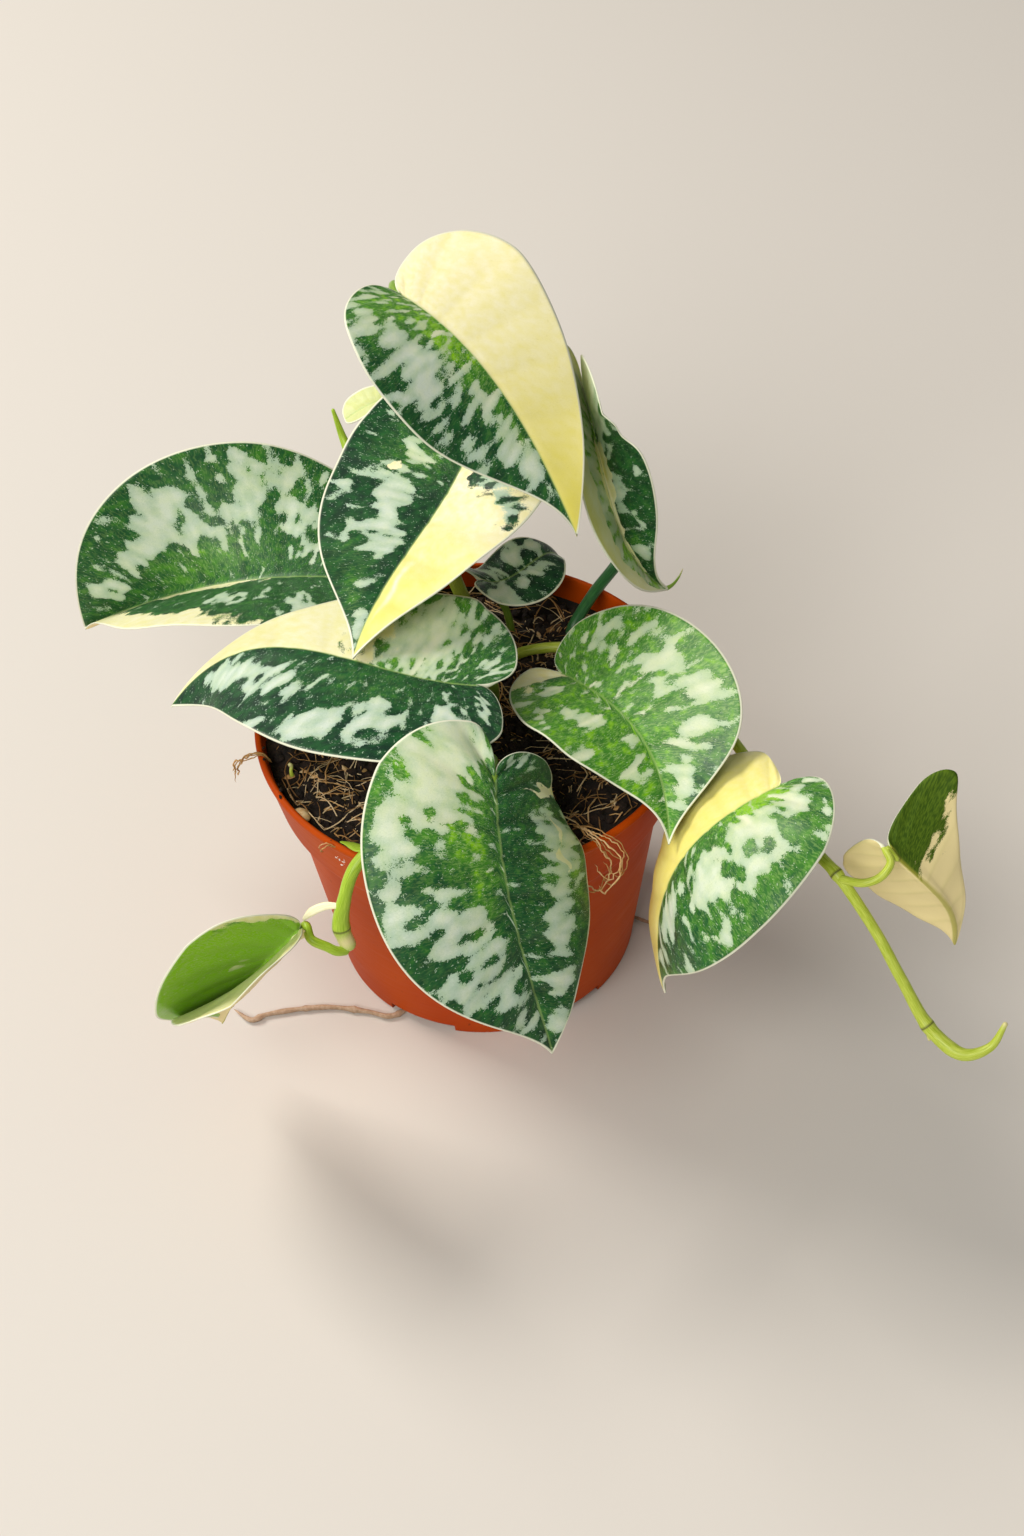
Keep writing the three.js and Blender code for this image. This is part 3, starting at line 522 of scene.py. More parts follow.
def leaf_piece(name, leaf, finishes):
    """Both halves as one grid, right edge to left edge. Along the normals the upper face is
    lifted between the side veins and lowered on them, waved at the edge and grooved at the
    midrib; the lower face lies a blade's thickness below it, and deeper under the midrib."""
    halves = [leaf_half(leaf, leaf["right"], -1), leaf_half(leaf, leaf["left"], 1)]
    points, u, v, run, inset, out = [np.concatenate([a[:, :0:-1], b], 1) for a, b in zip(*halves)]
    sign = np.r_[-np.ones(COLUMNS), np.ones(COLUMNS + 1)][None]
    q, r = ROW_PLACES, np.r_[COLUMN_PLACES[:0:-1], COLUMN_PLACES][None]
    along, across = np.gradient(points, axis=0), np.gradient(points, axis=1)
    along[0], along[-1], across[0], across[-1] = along[1], along[-2], across[1], across[-2]
    normal = np.cross(along, across)
    normal /= np.maximum(np.linalg.norm(normal, axis=2, keepdims=True), 1e-9)
    phase = VEINS * q + VEIN_LEAD * sign
    on_vein = np.exp(-((phase - np.round(phase)) / 0.09) ** 2)
    between = np.sin(np.pi * phase) ** 2 * np.sin(np.pi * r).clip(0) ** 0.8
    fade = np.clip(q * 14, 0, 1) * np.clip((1 - q) * 6, 0, 1)
    seed = leaf["seed"]
    wave = np.sin(2 * np.pi * (2.1 * q + 0.37 * seed) + sign)
    wave = wave + 0.5 * np.sin(2 * np.pi * (4.7 * q + 0.61 * seed) - sign)
    lift = fade * leaf.get("quilt", 1.0) * (QUILTING * between - VEIN_DEPTH * on_vein * (1 - r) ** 0.5)
    lift = lift + fade * leaf.get("wave", 0.5) * wave * r ** 3
    lift = lift - GROOVE_DEPTH * np.exp(-(v / 0.9) ** 2) * np.clip(q * 20, 0, 1) * (1 - 0.8 * q)
    upper = points + normal * lift[..., None]
    rib = np.exp(-(v / 1.1) ** 2) * (1 - 0.85 * q)
    thick = THICKNESS * (0.55 + 0.45 * np.clip(inset / 1.2, 0, 1)) + leaf["petiole_radius"] * 0.95 * rib
    lower = upper - normal * thick[..., None]
    wide = 2 * COLUMNS + 1
    count = (ROWS + 1) * wide
    top_faces = grid_faces(ROWS + 1, wide)
    low_faces = top_faces[:, ::-1] + count
    right = np.arange(ROWS) * wide
    right_rim = np.stack([right + wide, right, right + count, right + wide + count], -1)
    left_rim = right_rim[:, [1, 0, 3, 2]] + wide - 1

    # The petiole comes up below the blade and sinks into the thick end of the midrib
    base, forward, lifted, _ = [a[0] for a in midrib(leaf, np.array([0.0]))]
    path = leaf["petiole"] + [tuple(base - 1.9 * lifted - forward),
                              tuple(base - 1.7 * lifted + 4 * forward)]
    radius = leaf["petiole_radius"]
    radii = np.array([1.12, 1, 1, 1, 1, 0.95, 0.92, 0.88, 0.62]) * radius
    stalk, stalk_map = tube(path, radii, sides=16)
    stalk_faces = grid_faces(stalk.shape[0], stalk.shape[1], wrap=True, start=2 * count)
    faces = np.concatenate([top_faces, low_faces, right_rim, left_rim, stalk_faces])
    blade = np.concatenate([upper, lower]).reshape(-1, 3) / 1000
    piece = make_object(name, np.concatenate([blade, stalk.reshape(-1, 3)]), faces)

    # The map, in millimetres: along the edge and out from the midrib, each half in a part of
    # its own, so that no two halves of the plant carry the same pattern
    blade_map = np.stack([run + 300 * seed, out], -1).reshape(-1, 2)
    corner = faces.ravel()
    column, row = (corner % count) % wide, (corner % count) // wide
    on_blade = corner < 2 * count
    on_left = np.repeat(column.reshape(-1, 4).max(1) > COLUMNS, 4)
    mapped = np.concatenate([blade_map, blade_map, stalk_map.reshape(-1, 2)])[corner]
    mapped[on_blade & ~on_left, 0] += 150
    piece.data.uv_layers.new(name="run").data.foreach_set("uv", mapped.astype(np.float32).ravel())
    flat = np.zeros((len(corner), 4), np.float32)
    side, place = on_left.astype(int)[on_blade], np.abs(column - COLUMNS)[on_blade]
    flat[on_blade] = leaf_paint(leaf, halves)[side, row[on_blade], place]
    paint = piece.data.color_attributes.new("paint", "FLOAT_COLOR", "CORNER")
    paint.data.foreach_set("color", flat.ravel())
    for key, distance in (("inset", inset), ("from_midrib", np.abs(v))):
        mark(piece, key, np.concatenate([distance.ravel(), distance.ravel(),
                                         np.full(stalk.size // 3, 9.0)]))

    kinds = np.zeros(len(faces), int)
    kinds[len(top_faces):2 * len(top_faces)] = 1
    kinds[-len(stalk_faces):] = 2
    for finish in finishes:
        piece.data.materials.append(finish)
    piece.data.polygons.foreach_set("material_index", kinds)
    weld(piece)
    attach(piece, "root")
    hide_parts(leaf["node"])


def variegation(tree):
    """The patches of a variegated leaf break off in steps at its fine veins. So its map is cut
    into blocks about 1.3 mm wide and 3 mm long, each with the value that smooth noise has at its
    middle, and these into smaller ones; cream is where paint and blocks together pass a limit.
    Returns the map, the shaken map, the paint, the side veins, the cream, the blocks' noise, a
    random value per block, and one per small block."""
    where = add(tree, "UVMap", uv_map="run")
    painted = add(tree, "Attribute", out=None, attribute_name="paint")
    paint = add(tree, "SeparateColor", [painted["Color"]], out=None)
    shaken = add(tree, "TexNoise", {"Vector": where, "Scale": 0.9, "Detail": 1.0}, "Color",
                 noise_dimensions="2D")
    centred = add(tree, "VectorMath", [shaken, (-0.5, -0.5, 0)], operation="ADD")
    moved = add(tree, "VectorMath", [centred, (0.9, 1.5, 0), where], operation="MULTIPLY_ADD")
    broken = []
    for scale in ((0.8, 0.36, 1.0), (1.5, 0.8, 1.0)):
        cells = add(tree, "Mapping", {"Vector": moved, "Scale": scale})
        broken.append(add(tree, "TexVoronoi", {"Vector": cells, "Randomness": 0.9}, None,
                          distance="CHEBYCHEV", voronoi_dimensions="2D"))
    big, small = broken
    broad = add(tree, "TexNoise", {"Vector": big["Position"], "Scale": 0.36, "Detail": 0.6},
                noise_dimensions="2D")
    big_dice, small_dice = [add(tree, "SeparateColor", [cells["Color"]]) for cells in broken]
    creamy = add(tree, "Math", [broad, 0.5, paint[1]], operation="MULTIPLY_ADD")
    creamy = add(tree, "Math", [small_dice, 0.1, creamy], operation="MULTIPLY_ADD")
    creamed = add(tree, "MapRange", [creamy, 0.79, 0.81])
    return where, moved, paint, painted["Alpha"], creamed, broad, big_dice, small_dice


# Silver-leaved scindapsus, upper face: a thick satin leaf. Air under the skin makes the silver
# patches, which break off in steps along the side veins and are duller than the green; the
# cream parts have no green in their cells and show the veins; the margin is a clear pale line
upper_face, tree = material("scindapsus_leaf_upper_face_satin")
where, moved, paint, vein, creamed, broad, big_dice, small_dice = variegation(tree)
inset = add(tree, "Attribute", out="Fac", attribute_name="inset")
level = add(tree, "Math", [broad, 1.5, paint[0]], operation="MULTIPLY_ADD")
level = add(tree, "Math", [big_dice, 0.12, level], operation="MULTIPLY_ADD")
level = add(tree, "Math", [small_dice, 0.16, level], operation="MULTIPLY_ADD")
patch = add(tree, "MapRange", [level, 1.36, 1.38])
dots = add(tree, "Mapping", {"Vector": moved, "Scale": (0.5, 0.3, 1.0)})
dots = add(tree, "TexVoronoi", {"Vector": dots}, out=None, voronoi_dimensions="2D")
dot_dice = add(tree, "SeparateColor", [dots["Color"]], out=None)
dot_size = add(tree, "MapRange", [dot_dice[1], 0.86, 0.92, 0, 0.24])
dot = add(tree, "Math", [dots["Distance"], dot_size], operation="LESS_THAN")
silvered = add(tree, "Math", [patch, dot], operation="MAXIMUM")

mottle = add(tree, "TexNoise", {"Vector": where, "Scale": 0.3, "Detail": 2.0, "Roughness": 0.5},
             noise_dimensions="2D")
light = add(tree, "MapRange", [mottle, 0.35, 0.75, 0, 0.35])
fresh = add(tree, "Math", [paint[2], light], operation="ADD", use_clamp=True)
# The brightest stop, a vivid lime, is partly painted light: on the young leaf it gives the glow of light
# shining through the leaf
green = add(tree, "ValToRGB", {"Fac": fresh}, stops=[
    (0.0, "#0f3322"), (0.35, "#1f5a2c"), (0.75, "#478a24"), (1.0, "#88c60a")])
grained = add(tree, "Mapping", {"Vector": moved, "Scale": (0.5, 0.09, 1.0)})
grained = add(tree, "TexNoise", {"Vector": grained, "Detail": 1.0}, noise_dimensions="2D")
milky = add(tree, "MapRange", [grained, 0.46, 0.66, 0, 0.8])
milky = add(tree, "Math", [milky, paint[2]], operation="MULTIPLY", use_clamp=True)
green = add(tree, "Mix", [milky, green, "#9cc46c"])
shaded = add(tree, "MapRange", [fresh, 0.5, 0.9, 0.35, 0])
shaded = add(tree, "Math", [vein, shaded], operation="MULTIPLY")
green = add(tree, "Mix", [shaded, green, "#0c2c1b"])
glow = add(tree, "MapRange", [level, 1.4, 2.1])
cool = add(tree, "Mix", [glow, "#a9c5b0", "#d2e0d3"])
warm = add(tree, "Mix", [glow, "#b6cf97", "#d9e5bb"])
silver = add(tree, "Mix", [fresh, cool, warm])
# Fine creases in the silver, pressed in by the bump below, are darkened to grey-green: painted shade in the
# creases
cracks = add(tree, "Mapping", {"Vector": moved, "Scale": (0.5, 0.16, 1.0)})
cracks = add(tree, "TexVoronoi", {"Vector": cracks}, voronoi_dimensions="2D", feature="DISTANCE_TO_EDGE")
crease = add(tree, "MapRange", [cracks, 0, 0.05, 0.3, 0])
silver = add(tree, "Mix", [crease, silver, "#6f9a72"])
pale_vein = add(tree, "Math", [vein, paint[2]], operation="MULTIPLY", use_clamp=True)
silver = add(tree, "Mix", [pale_vein, silver, "#eef0d2"])
patched = add(tree, "Mix", [silvered, green, silver])
cream = add(tree, "ValToRGB", {"Fac": mottle}, stops=[(0.25, "#fffbdc"), (0.8, "#f8f2b6")])
ripe = add(tree, "Math", [paint[1], 1.0], operation="SUBTRACT", use_clamp=True)
cream = add(tree, "Mix", [ripe, cream, "#ebdf50"])
green_cream = add(tree, "Math", [paint[2], 0.6], operation="MULTIPLY", use_clamp=True)
cream = add(tree, "Mix", [green_cream, cream, "#b9cf74"])
# The cream turns a deeper yellow faintly along its side veins, which is their own colour, and along the
# fine creases, which is painted shade
yellow = add(tree, "Math", [vein, 0.14, crease], operation="MULTIPLY_ADD")
cream = add(tree, "Mix", [yellow, cream, "#d3c964"])
body = add(tree, "Mix", [creamed, patched, cream])
from_midrib = add(tree, "Attribute", out="Fac", attribute_name="from_midrib")
middle = add(tree, "MapRange", [from_midrib, 0.15, 0.45, 0.45, 0])
body = add(tree, "Mix", [middle, body, "#9fbf6e"])
margin = add(tree, "MapRange", [inset, 0.34, 0.62, 0.95, 0])
body = add(tree, "Mix", [margin, body, "#eff1da"])
raised = add(tree, "Bump", {"Strength": 0.3, "Distance": 0.0001, "Height": silvered})
creased = add(tree, "Bump", {"Strength": 0.35, "Distance": -0.0002, "Height": crease, "Normal": raised})
dull = add(tree, "MapRange", [silvered, 0, 1, 0.33, 0.48])
finish_material(tree, {
    "Base Color": body, "Roughness": dull, "Normal": creased, "IOR": 1.42, "Specular IOR Level": 0.3,
})

# The lower face: matt and without silver, lighter than the upper; its cream parts meet the
# green in the same stepped edges, with olive veins, and young leaves are brighter
lower_face, tree = material("scindapsus_leaf_lower_face_matt")
where, _, paint, vein, creamed, *_ = variegation(tree)
soft = add(tree, "Mapping", {"Vector": where, "Scale": (0.3, 0.08, 1.0)})
soft = add(tree, "TexNoise", {"Vector": soft, "Detail": 2.0}, noise_dimensions="2D")
green = add(tree, "ValToRGB", {"Fac": soft}, stops=[(0.35, "#344f08"), (0.65, "#536f12")])
young = add(tree, "ValToRGB", {"Fac": soft}, stops=[(0.4, "#6c9f17"), (0.7, "#a3c44d")])
green = add(tree, "Mix", [paint[2], green, young])
cream = add(tree, "Mix", [vein, "#f8e8ac", "#eee0a0"])
body = add(tree, "Mix", [creamed, green, cream])
from_midrib = add(tree, "Attribute", out="Fac", attribute_name="from_midrib")
middle = add(tree, "MapRange", [from_midrib, 0.2, 0.6, 0.75, 0])
body = add(tree, "Mix", [middle, body, "#a8a63c"])
pits = add(tree, "TexVoronoi", {"Vector": where, "Scale": 1.6}, voronoi_dimensions="2D")
fine = add(tree, "Bump", {"Strength": 0.05, "Distance": 0.0001, "Height": pits})
finish_material(tree, {
    "Base Color": body, "Roughness": 0.5, "Normal": fine, "IOR": 1.42, "Specular IOR Level": 0.3,
})


def stalk_skin(name, low, high):
    """The skin of a petiole or stem: juicy and satin, with fine lighter streaks lengthwise, a
    brown line at each node, and pale cream where it has no green yet."""
    made, tree = material(name)
    lines = add(tree, "Mapping", {"Vector": add(tree, "UVMap", uv_map="run"), "Scale": (1.6, 0.05, 1.0)})
    streak = add(tree, "TexNoise", {"Vector": lines, "Detail": 3.0}, noise_dimensions="2D")
    hue = add(tree, "ValToRGB", {"Fac": streak}, stops=[(0.35, low), (0.65, high)])
    bare = add(tree, "Attribute", out="Fac", attribute_name="bare")
    hue = add(tree, "Mix", [bare, hue, "#e6dca4"])
    node = add(tree, "Attribute", out="Fac", attribute_name="node_line")
    hue = add(tree, "Mix", [node, hue, "#4a4a20"])
    rough = add(tree, "Bump", {"Strength": 0.2, "Distance": 0.0001, "Height": streak})
    finish_material(tree, {"Base Color": hue, "Roughness": 0.36, "Normal": rough, "IOR": 1.42})
    return made


green_stalk = stalk_skin("scindapsus_petiole_green", "#6f9a2c", "#93b545")
yellow_stalk = stalk_skin("scindapsus_petiole_yellow_green", "#a6bd28", "#d2e062")
lime_stalk = stalk_skin("scindapsus_young_shoot_lime", "#8fb61e", "#b8d64a")
dark_stalk = stalk_skin("scindapsus_petiole_dark_green", "#1f4f2c", "#35703a")

# Each leaf in millimetres and degrees: where its midrib starts and ends, and how that rolls,
# arches, sweeps and twists; for each half the outline's seven measures, the fold and the curl;
# the petiole's path; and the silver, cream and fresh green of each half, in hundredths
LEAVES = {
    "leaf_top": dict(
        base=(-12, 69.5, 179), tip=(31, 17, 135.5), roll=-14, arch=(12, 6), sweep=(3, 3), twist=-28,
        fold_tip=-18, left=(7, 13.5, 31.5, 12, 0.1, 0.35, 36, 17, 4),
        right=(7, 9, 31.5, 17.5, 0.6, 0.3, 3, 12, -14),
        petiole=[(-10.8, 89.7, 147), (-11.5, 90, 151), (-14, 89, 162), (-14, 80, 174)], petiole_radius=1.7,
        quilt=0.35,
        left_cream=(108, (100, 50, 36, 150, 80)),
        right_silver=(30, (14, 60, 5, 35, 30), (28, 80, 6, 20, 50), (42, 52, 10, 20, 80),
                      (50, 62, 6, 16, 50), (62, 26, 5, 12, 70), (47, 92, 2, 6, 70), (77, 40, 7, 22, 70),
                      (86, 30, 4, 20, 40)),
        right_fresh=(10, (18, 50, 16, 60, 50), (45, 10, 20, 20, 70), (75, 25, 8, 20, 40)),
    ),
    "leaf_crown": dict(
        base=(5, 66.5, 133), tip=(-30, -10, 122), roll=7, arch=(-4, 4), sweep=(4, -4), twist=-4,
        fold_tip=-5, left=(14, 16, 32, 18, 0.45, 0.4, 33, 11, 1),
        right=(14.5, 17, 33.5, 18.5, 0.65, 0.35, 15, 12, 4),
        petiole=[(-8.2, 63.5, 114.2), (-4.7, 64.1, 114.1), (0, 70, 116.5), (4.5, 72, 125)],
        petiole_radius=1.6, quilt=1.2,
        left_silver=(10, (47, 50, 8, 20, 70), (57, 60, 5, 20, 80), (40, 25, 4, 10, 40)),
        left_cream=(100, (47, 50, 8, 35, -62), (56, 85, 7, 25, -80), (42, 30, 5, 20, -30),
                    (82, 20, 7, 6, -75), (30, 60, 12, 60, -60), (95, 50, 35, 150, 80)),
        right_silver=(0, (53, 42, 8.5, 17, 100), (70, 30, 7, 20, 90), (62, 38, 5, 15, 60),
                      (67, 72, 3.5, 12, 90), (38, 40, 5, 18, 80), (82, 50, 2, 15, 60), (93, 40, 5, 50, 80),
                      (56, 86, 3, 8, 60), (49, 70, 3, 10, 60), (30, 75, 3, 12, 50)),
        right_cream=(0, (45.5, 52, 1.4, 12, 80)),
        right_fresh=(0, (38, 40, 8, 30, 40), (85, 60, 15, 30, 30)),
    ),
    "leaf_left": dict(
        base=(-38.5, 49.5, 97), tip=(-115.5, 64, 69), roll=5, arch=(8, 5), sweep=(0, -2), twist=38,
        fold_tip=52, left=(11, 19.5, 37, 24, 0.6, 0.45, 39, 16, -5),
        right=(10.5, 16.5, 40.5, 26.5, 0.6, 0.45, 61, 21, -4),
        petiole=[(-15, 28, 78), (-15, 28, 84), (-15, 28, 88), (-19, 36, 93), (-30, 46, 95)],
        petiole_radius=1.6, quilt=0.6,
        left_silver=(10, (30, 60, 4, 20, 70), (50, 45, 5, 15, 70), (40, 30, 3, 10, 50)),
        left_cream=(0, (68, 100, 30, 38, 110), (72, 0, 30, 16, 90), (95, 50, 12, 100, 80)),
        left_fresh=(15,),
        right_silver=(8, (62, 74, 5, 12, 85), (68, 52, 7.5, 17, 100), (57, 38, 5, 10, 90),
                      (48.5, 60, 3.5, 22, 105), (41, 76, 3.5, 16, 95), (36, 50, 4, 14, 90),
                      (30, 25, 4, 10, 80), (85, 60, 3.5, 18, 95), (83, 33, 2.5, 12, 90), (79, 90, 2, 5, 70),
                      (53, 87, 2, 6, 90), (47, 90, 1.8, 5, 80), (35, 85, 2, 7, 70), (28, 70, 4, 15, 70),
                      (76, 40, 3, 8, 60)),
        right_fresh=(20, (60, 20, 15, 15, 35), (45, 75, 8, 10, 25)),
    ),
    "leaf_left_low": dict(
        base=(2, -19.5, 119), tip=(-82, 0.5, 97.5), roll=11, arch=(7, 27), sweep=(5, -13), twist=0,
        fold_tip=-18, left=(8.5, 20.5, 35.5, 15, 0.45, 0.35, 58, -2, 3),
        right=(10, 9.5, 35, 8.5, 0.5, 0.35, 36, 5, 6),
        petiole=[(6, 2, 78), (6, 2, 84), (6, 2, 88), (6, -4, 103), (4, -14, 114)], petiole_radius=1.6,
        quilt=0.6,
        left_silver=(8, (82, 42, 6.5, 28, 95), (66, 42, 6, 16, 95), (53, 76, 4, 14, 90),
                     (43, 58, 5, 20, 100), (28, 45, 5, 20, 85), (15, 60, 5, 20, 80), (63, 85, 3, 10, 70),
                     (72, 60, 3, 10, 50)),
        left_fresh=(0, (50, 20, 20, 20, 20)),
        right_silver=(15, (42, 45, 13, 50, 90), (13, 50, 5, 20, 70), (27, 80, 4, 10, 40)),
        right_cream=(0, (86, 50, 34, 200, 120)),
        right_fresh=(20, (42, 50, 13, 60, 45)),
    ),
    "leaf_front": dict(
        base=(6, -54.5, 123), tip=(16, -98, 63), roll=-12, arch=(14, 3), sweep=(-11, -3), twist=6,
        fold_tip=17, left=(8.5, 17, 31, 18.5, 0.55, 0.4, 44, -7, -47),
        right=(13, 7, 35.5, 18.5, 0.55, 0.35, 30, 0, -35),
        petiole=[(4, -28, 78), (4, -28, 85), (4, -28, 89), (4, -33, 103), (5, -43, 115)],
        petiole_radius=1.7, notch=(0.27, 0.16, 0.035), quilt=2.6,
        left_silver=(5, (12, 62, 4.5, 25, 80), (43, 68, 10, 30, 100), (58, 62, 6, 30, 60),
                     (69, 50, 5, 16, 100), (82, 50, 4, 30, 90), (93, 65, 5, 40, 90)),
        left_cream=(0, (27, 70, 1.2, 45, 75), (27, 100, 3, 10, 85), (46, 62, 12, 5, 95)),
        left_fresh=(15, (50, 70, 14, 30, 50)),
        right_silver=(15, (17, 75, 9, 40, 100), (32, 52, 8.5, 25, 105), (42, 80, 4.5, 10, 90),
                      (60, 50, 7, 17, 105), (54, 82, 3.5, 10, 95), (77, 42, 5, 20, 90), (74, 80, 4, 14, 85),
                      (68, 25, 4, 12, 70), (88, 50, 4, 30, 70)),
        right_fresh=(10, (25, 60, 22, 60, 60), (50, 22, 15, 15, 45)),
    ),
    "leaf_right": dict(
        base=(25, 0.5, 101.5), tip=(49, -57.5, 95), roll=-8, arch=(7, 9), sweep=(8, 10), twist=-13,
        fold_tip=14, left=(8.5, 14, 31, 18.5, 0.8, 0.4, 26, 12, 15),
        right=(7, 7, 26.5, 19, 0.65, 0.4, 16, 4, 8),
        petiole=[(36.3, 15.4, 92.7), (35, 13.5, 95.4), (31, 9, 97), (27, 4, 99)], petiole_radius=1.4,
        quilt=0.8,
        left_silver=(20, (28, 55, 4.5, 25, 65), (37, 60, 3, 20, 40), (47, 50, 4, 25, 70),
                     (60, 65, 4.5, 28, 60), (72, 50, 4, 20, 70), (84, 50, 4.5, 25, 80), (55, 35, 2, 12, 50),
                     (40, 85, 3, 10, 40)),
        left_fresh=(55, (85, 80, 12, 30, -35)),
        right_silver=(8, (27, 45, 3, 20, 80), (50, 38, 6.5, 17, 95), (64, 75, 4, 14, 95),
                      (78, 50, 5, 25, 80), (72, 15, 8, 8, 60), (38, 75, 2.5, 10, 70), (45, 85, 2, 8, 70),
                      (30, 90, 4, 8, 60)),
        right_cream=(0, (10, 60, 11, 70, 130)),
        right_fresh=(60, (10, 50, 10, 60, -60)),
    ),
    "leaf_right_low": dict(
        base=(77.5, -53, 110.5), tip=(46.5, -74.5, 54.5), roll=30, arch=(22, 16), sweep=(2, -5), twist=-8,
        fold_tip=-5, left=(10, 9, 35, 19, 0.75, 0.35, 31, 6, -48),
        right=(2, 14, 33, 17, 0.55, 0.4, 43, 10, -36),
        petiole=[(79.7, -50.9, 96.7), (81, -49.5, 100), (83.5, -53, 104), (81.5, -54, 108.5)],
        petiole_radius=1.4,
        left_silver=(22, (22, 42, 5.5, 18, 100), (37, 32, 6, 13, 90), (53, 45, 6, 17, 100),
                     (40, 68, 4.5, 10, 95), (72, 30, 6, 18, 90), (57, 85, 3.5, 7, 80), (8, 70, 3, 15, 90),
                     (20, 92, 3, 5, 80), (85, 40, 5, 20, 60)),
        left_fresh=(40, (25, 12, 15, 25, 60), (75, 60, 15, 50, -30)),
        right_cream=(140, (60, 50, 50, 150, 35)),
    ),
    "leaf_vine": dict(
        base=(102, -74, 108), tip=(122, -75, 69), roll=263, arch=(-7, 0), sweep=(-5, -7), twist=-6,
        fold_tip=-16, left=(4, 6.5, 23, 3, 0.7, 0.25, 27, 35, 8),
        right=(4.5, 16.5, 25.5, 0.5, 0.1, 0.9, 15, 37, -1),
        petiole=[(89.7, -75.9, 99.4), (95.5, -80, 102), (99.5, -80, 104), (102, -78, 107)],
        petiole_radius=1.1, stalk=yellow_stalk, quilt=0.3,
        left_cream=(100,),
        right_silver=(30,),
        right_cream=(0, (92, 50, 48, 300, 130)),
        right_fresh=(5,),
    ),
    "leaf_back_right": dict(
        base=(37, 63, 143), tip=(58, 43, 90), roll=51, arch=(4, 21), sweep=(-3, -6), twist=38, fold_tip=-28,
        left=(15, 11.5, 25, 11, 0.4, 0.4, 8, 78, -13), right=(18.5, 8, 24, 11, 0.55, 0.4, 30, 80, -2),
        petiole=[(29.5, 31, 78), (29.5, 31, 84), (29.5, 31, 88), (36, 39, 93.5), (43.9, 48.1, 97.1),
                 (47, 48.6, 104), (48, 48.8, 113), (47.3, 50.5, 122.5), (44, 56, 131), (39.5, 63.5, 137.5),
                 (36.5, 68.5, 142), (36, 68, 145)], petiole_radius=1.7, stalk=dark_stalk,
                 notch=(0.47, 0.13, 0.03),
        left_silver=(5, (40, 40, 5, 30, 95), (60, 25, 8, 20, 100), (55, 75, 2, 8, 80), (72, 65, 3, 12, 85),
                     (81, 50, 3, 30, 95), (22, 80, 13, 100, 160)),
        left_cream=(0, (50, 8, 7, 20, 100), (65, 0, 35, 12, 90), (10, 95, 10, 20, 90)),
        left_fresh=(10, (78, 40, 5, 30, 30), (22, 80, 14, 100, 80)),
        right_silver=(35, (60, 30, 30, 25, 40), (10, 50, 14, 100, 90)),
        right_cream=(0, (60, 100, 50, 42, 170), (60, 0, 35, 10, 100), (10, 100, 12, 30, 110)),
        right_fresh=(75, (10, 50, 15, 100, 40)),
    ),
    "leaf_back": dict(
        base=(6, 37.5, 103), tip=(28, 55, 93), roll=-6, arch=(-3, 11), sweep=(-4, -1), twist=-17,
        fold_tip=12, left=(5.5, 6, 12, 7, 0.6, 0.45, 44, 1, -22),
        right=(5.5, 6, 13, 7, 0.55, 0.4, 36, 1, -18),
        petiole=[(12, 36, 78), (12, 36, 82), (12, 36, 86), (10, 36.5, 95)], petiole_radius=1.1, quilt=0.5,
        wave=0.2,
        left_silver=(30, (63, 50, 8, 30, 100), (80, 60, 5, 20, 90), (35, 50, 6, 30, 60)),
        right_silver=(30, (33, 60, 9, 40, 100), (50, 35, 4, 18, 90), (65, 35, 3, 15, 80)),
    ),
    "leaf_pale": dict(
        base=(-21, 98, 122), tip=(-33, 95, 117), roll=0, arch=(1, 1), sweep=(0, 0), twist=0, fold_tip=0,
        left=(3, 2.5, 6, 5, 0.8, 0.5, 85, 15, 0), right=(3, 2.5, 6, 5, 0.8, 0.5, 85, 15, 0),
        petiole=[(-26, 80.3, 101.9), (-25, 80.5, 104.8), (-22, 88, 110), (-19.5, 96, 118)],
        petiole_radius=0.9, quilt=0.12, wave=0.1,
        left_cream=(100,),
        left_fresh=(100,),
        right_cream=(100,),
        right_fresh=(100,),
    ),
    "leaf_young": dict(
        base=(-48, -63, 76), tip=(-76, -50, 21), roll=-64, arch=(1, 1), sweep=(0, -3), twist=-5,
        fold_tip=31, left=(9.5, 21, 34, 12.5, 0.5, 0.4, 32, 65, 18),
        right=(10.5, 17, 36, 13, 0.65, 0.4, 21, 64, 17),
        petiole=[(-35.6, -65.4, 69.6), (-38.5, -67.1, 71.3), (-41, -66.8, 73), (-45, -65.5, 75)],
        petiole_radius=1.3, stalk=lime_stalk, quilt=1.0,
        left_cream=(120,),
        right_silver=(-30, (52, 30, 5, 13, 130)),
        right_cream=(0, (15, 100, 18, 34, 100)),
        # The right half's full fresh green is partly the young leaf's own lime and partly painted light:
        # the glow of light shining through the thin leaf onto a face that lies in shade
        right_fresh=(100, (14, 100, 12, 20, -90)),
    ),
}
for number, (name, leaf) in enumerate(LEAVES.items()):
    leaf.update(seed=number + 1, node=name)
    finishes = [upper_face, lower_face, leaf.get("stalk", green_stalk)]
    leaf_piece("blade_" + name[5:], leaf, finishes)


# The stems: three that climb out of the soil, the long vine that hangs out to the right with
# its growing tip, and the young shoot over the front rim. Each is one juicy green stalk, a
# little thicker at each node, where a brown line runs round it.
PLACES_PER_MM = 3


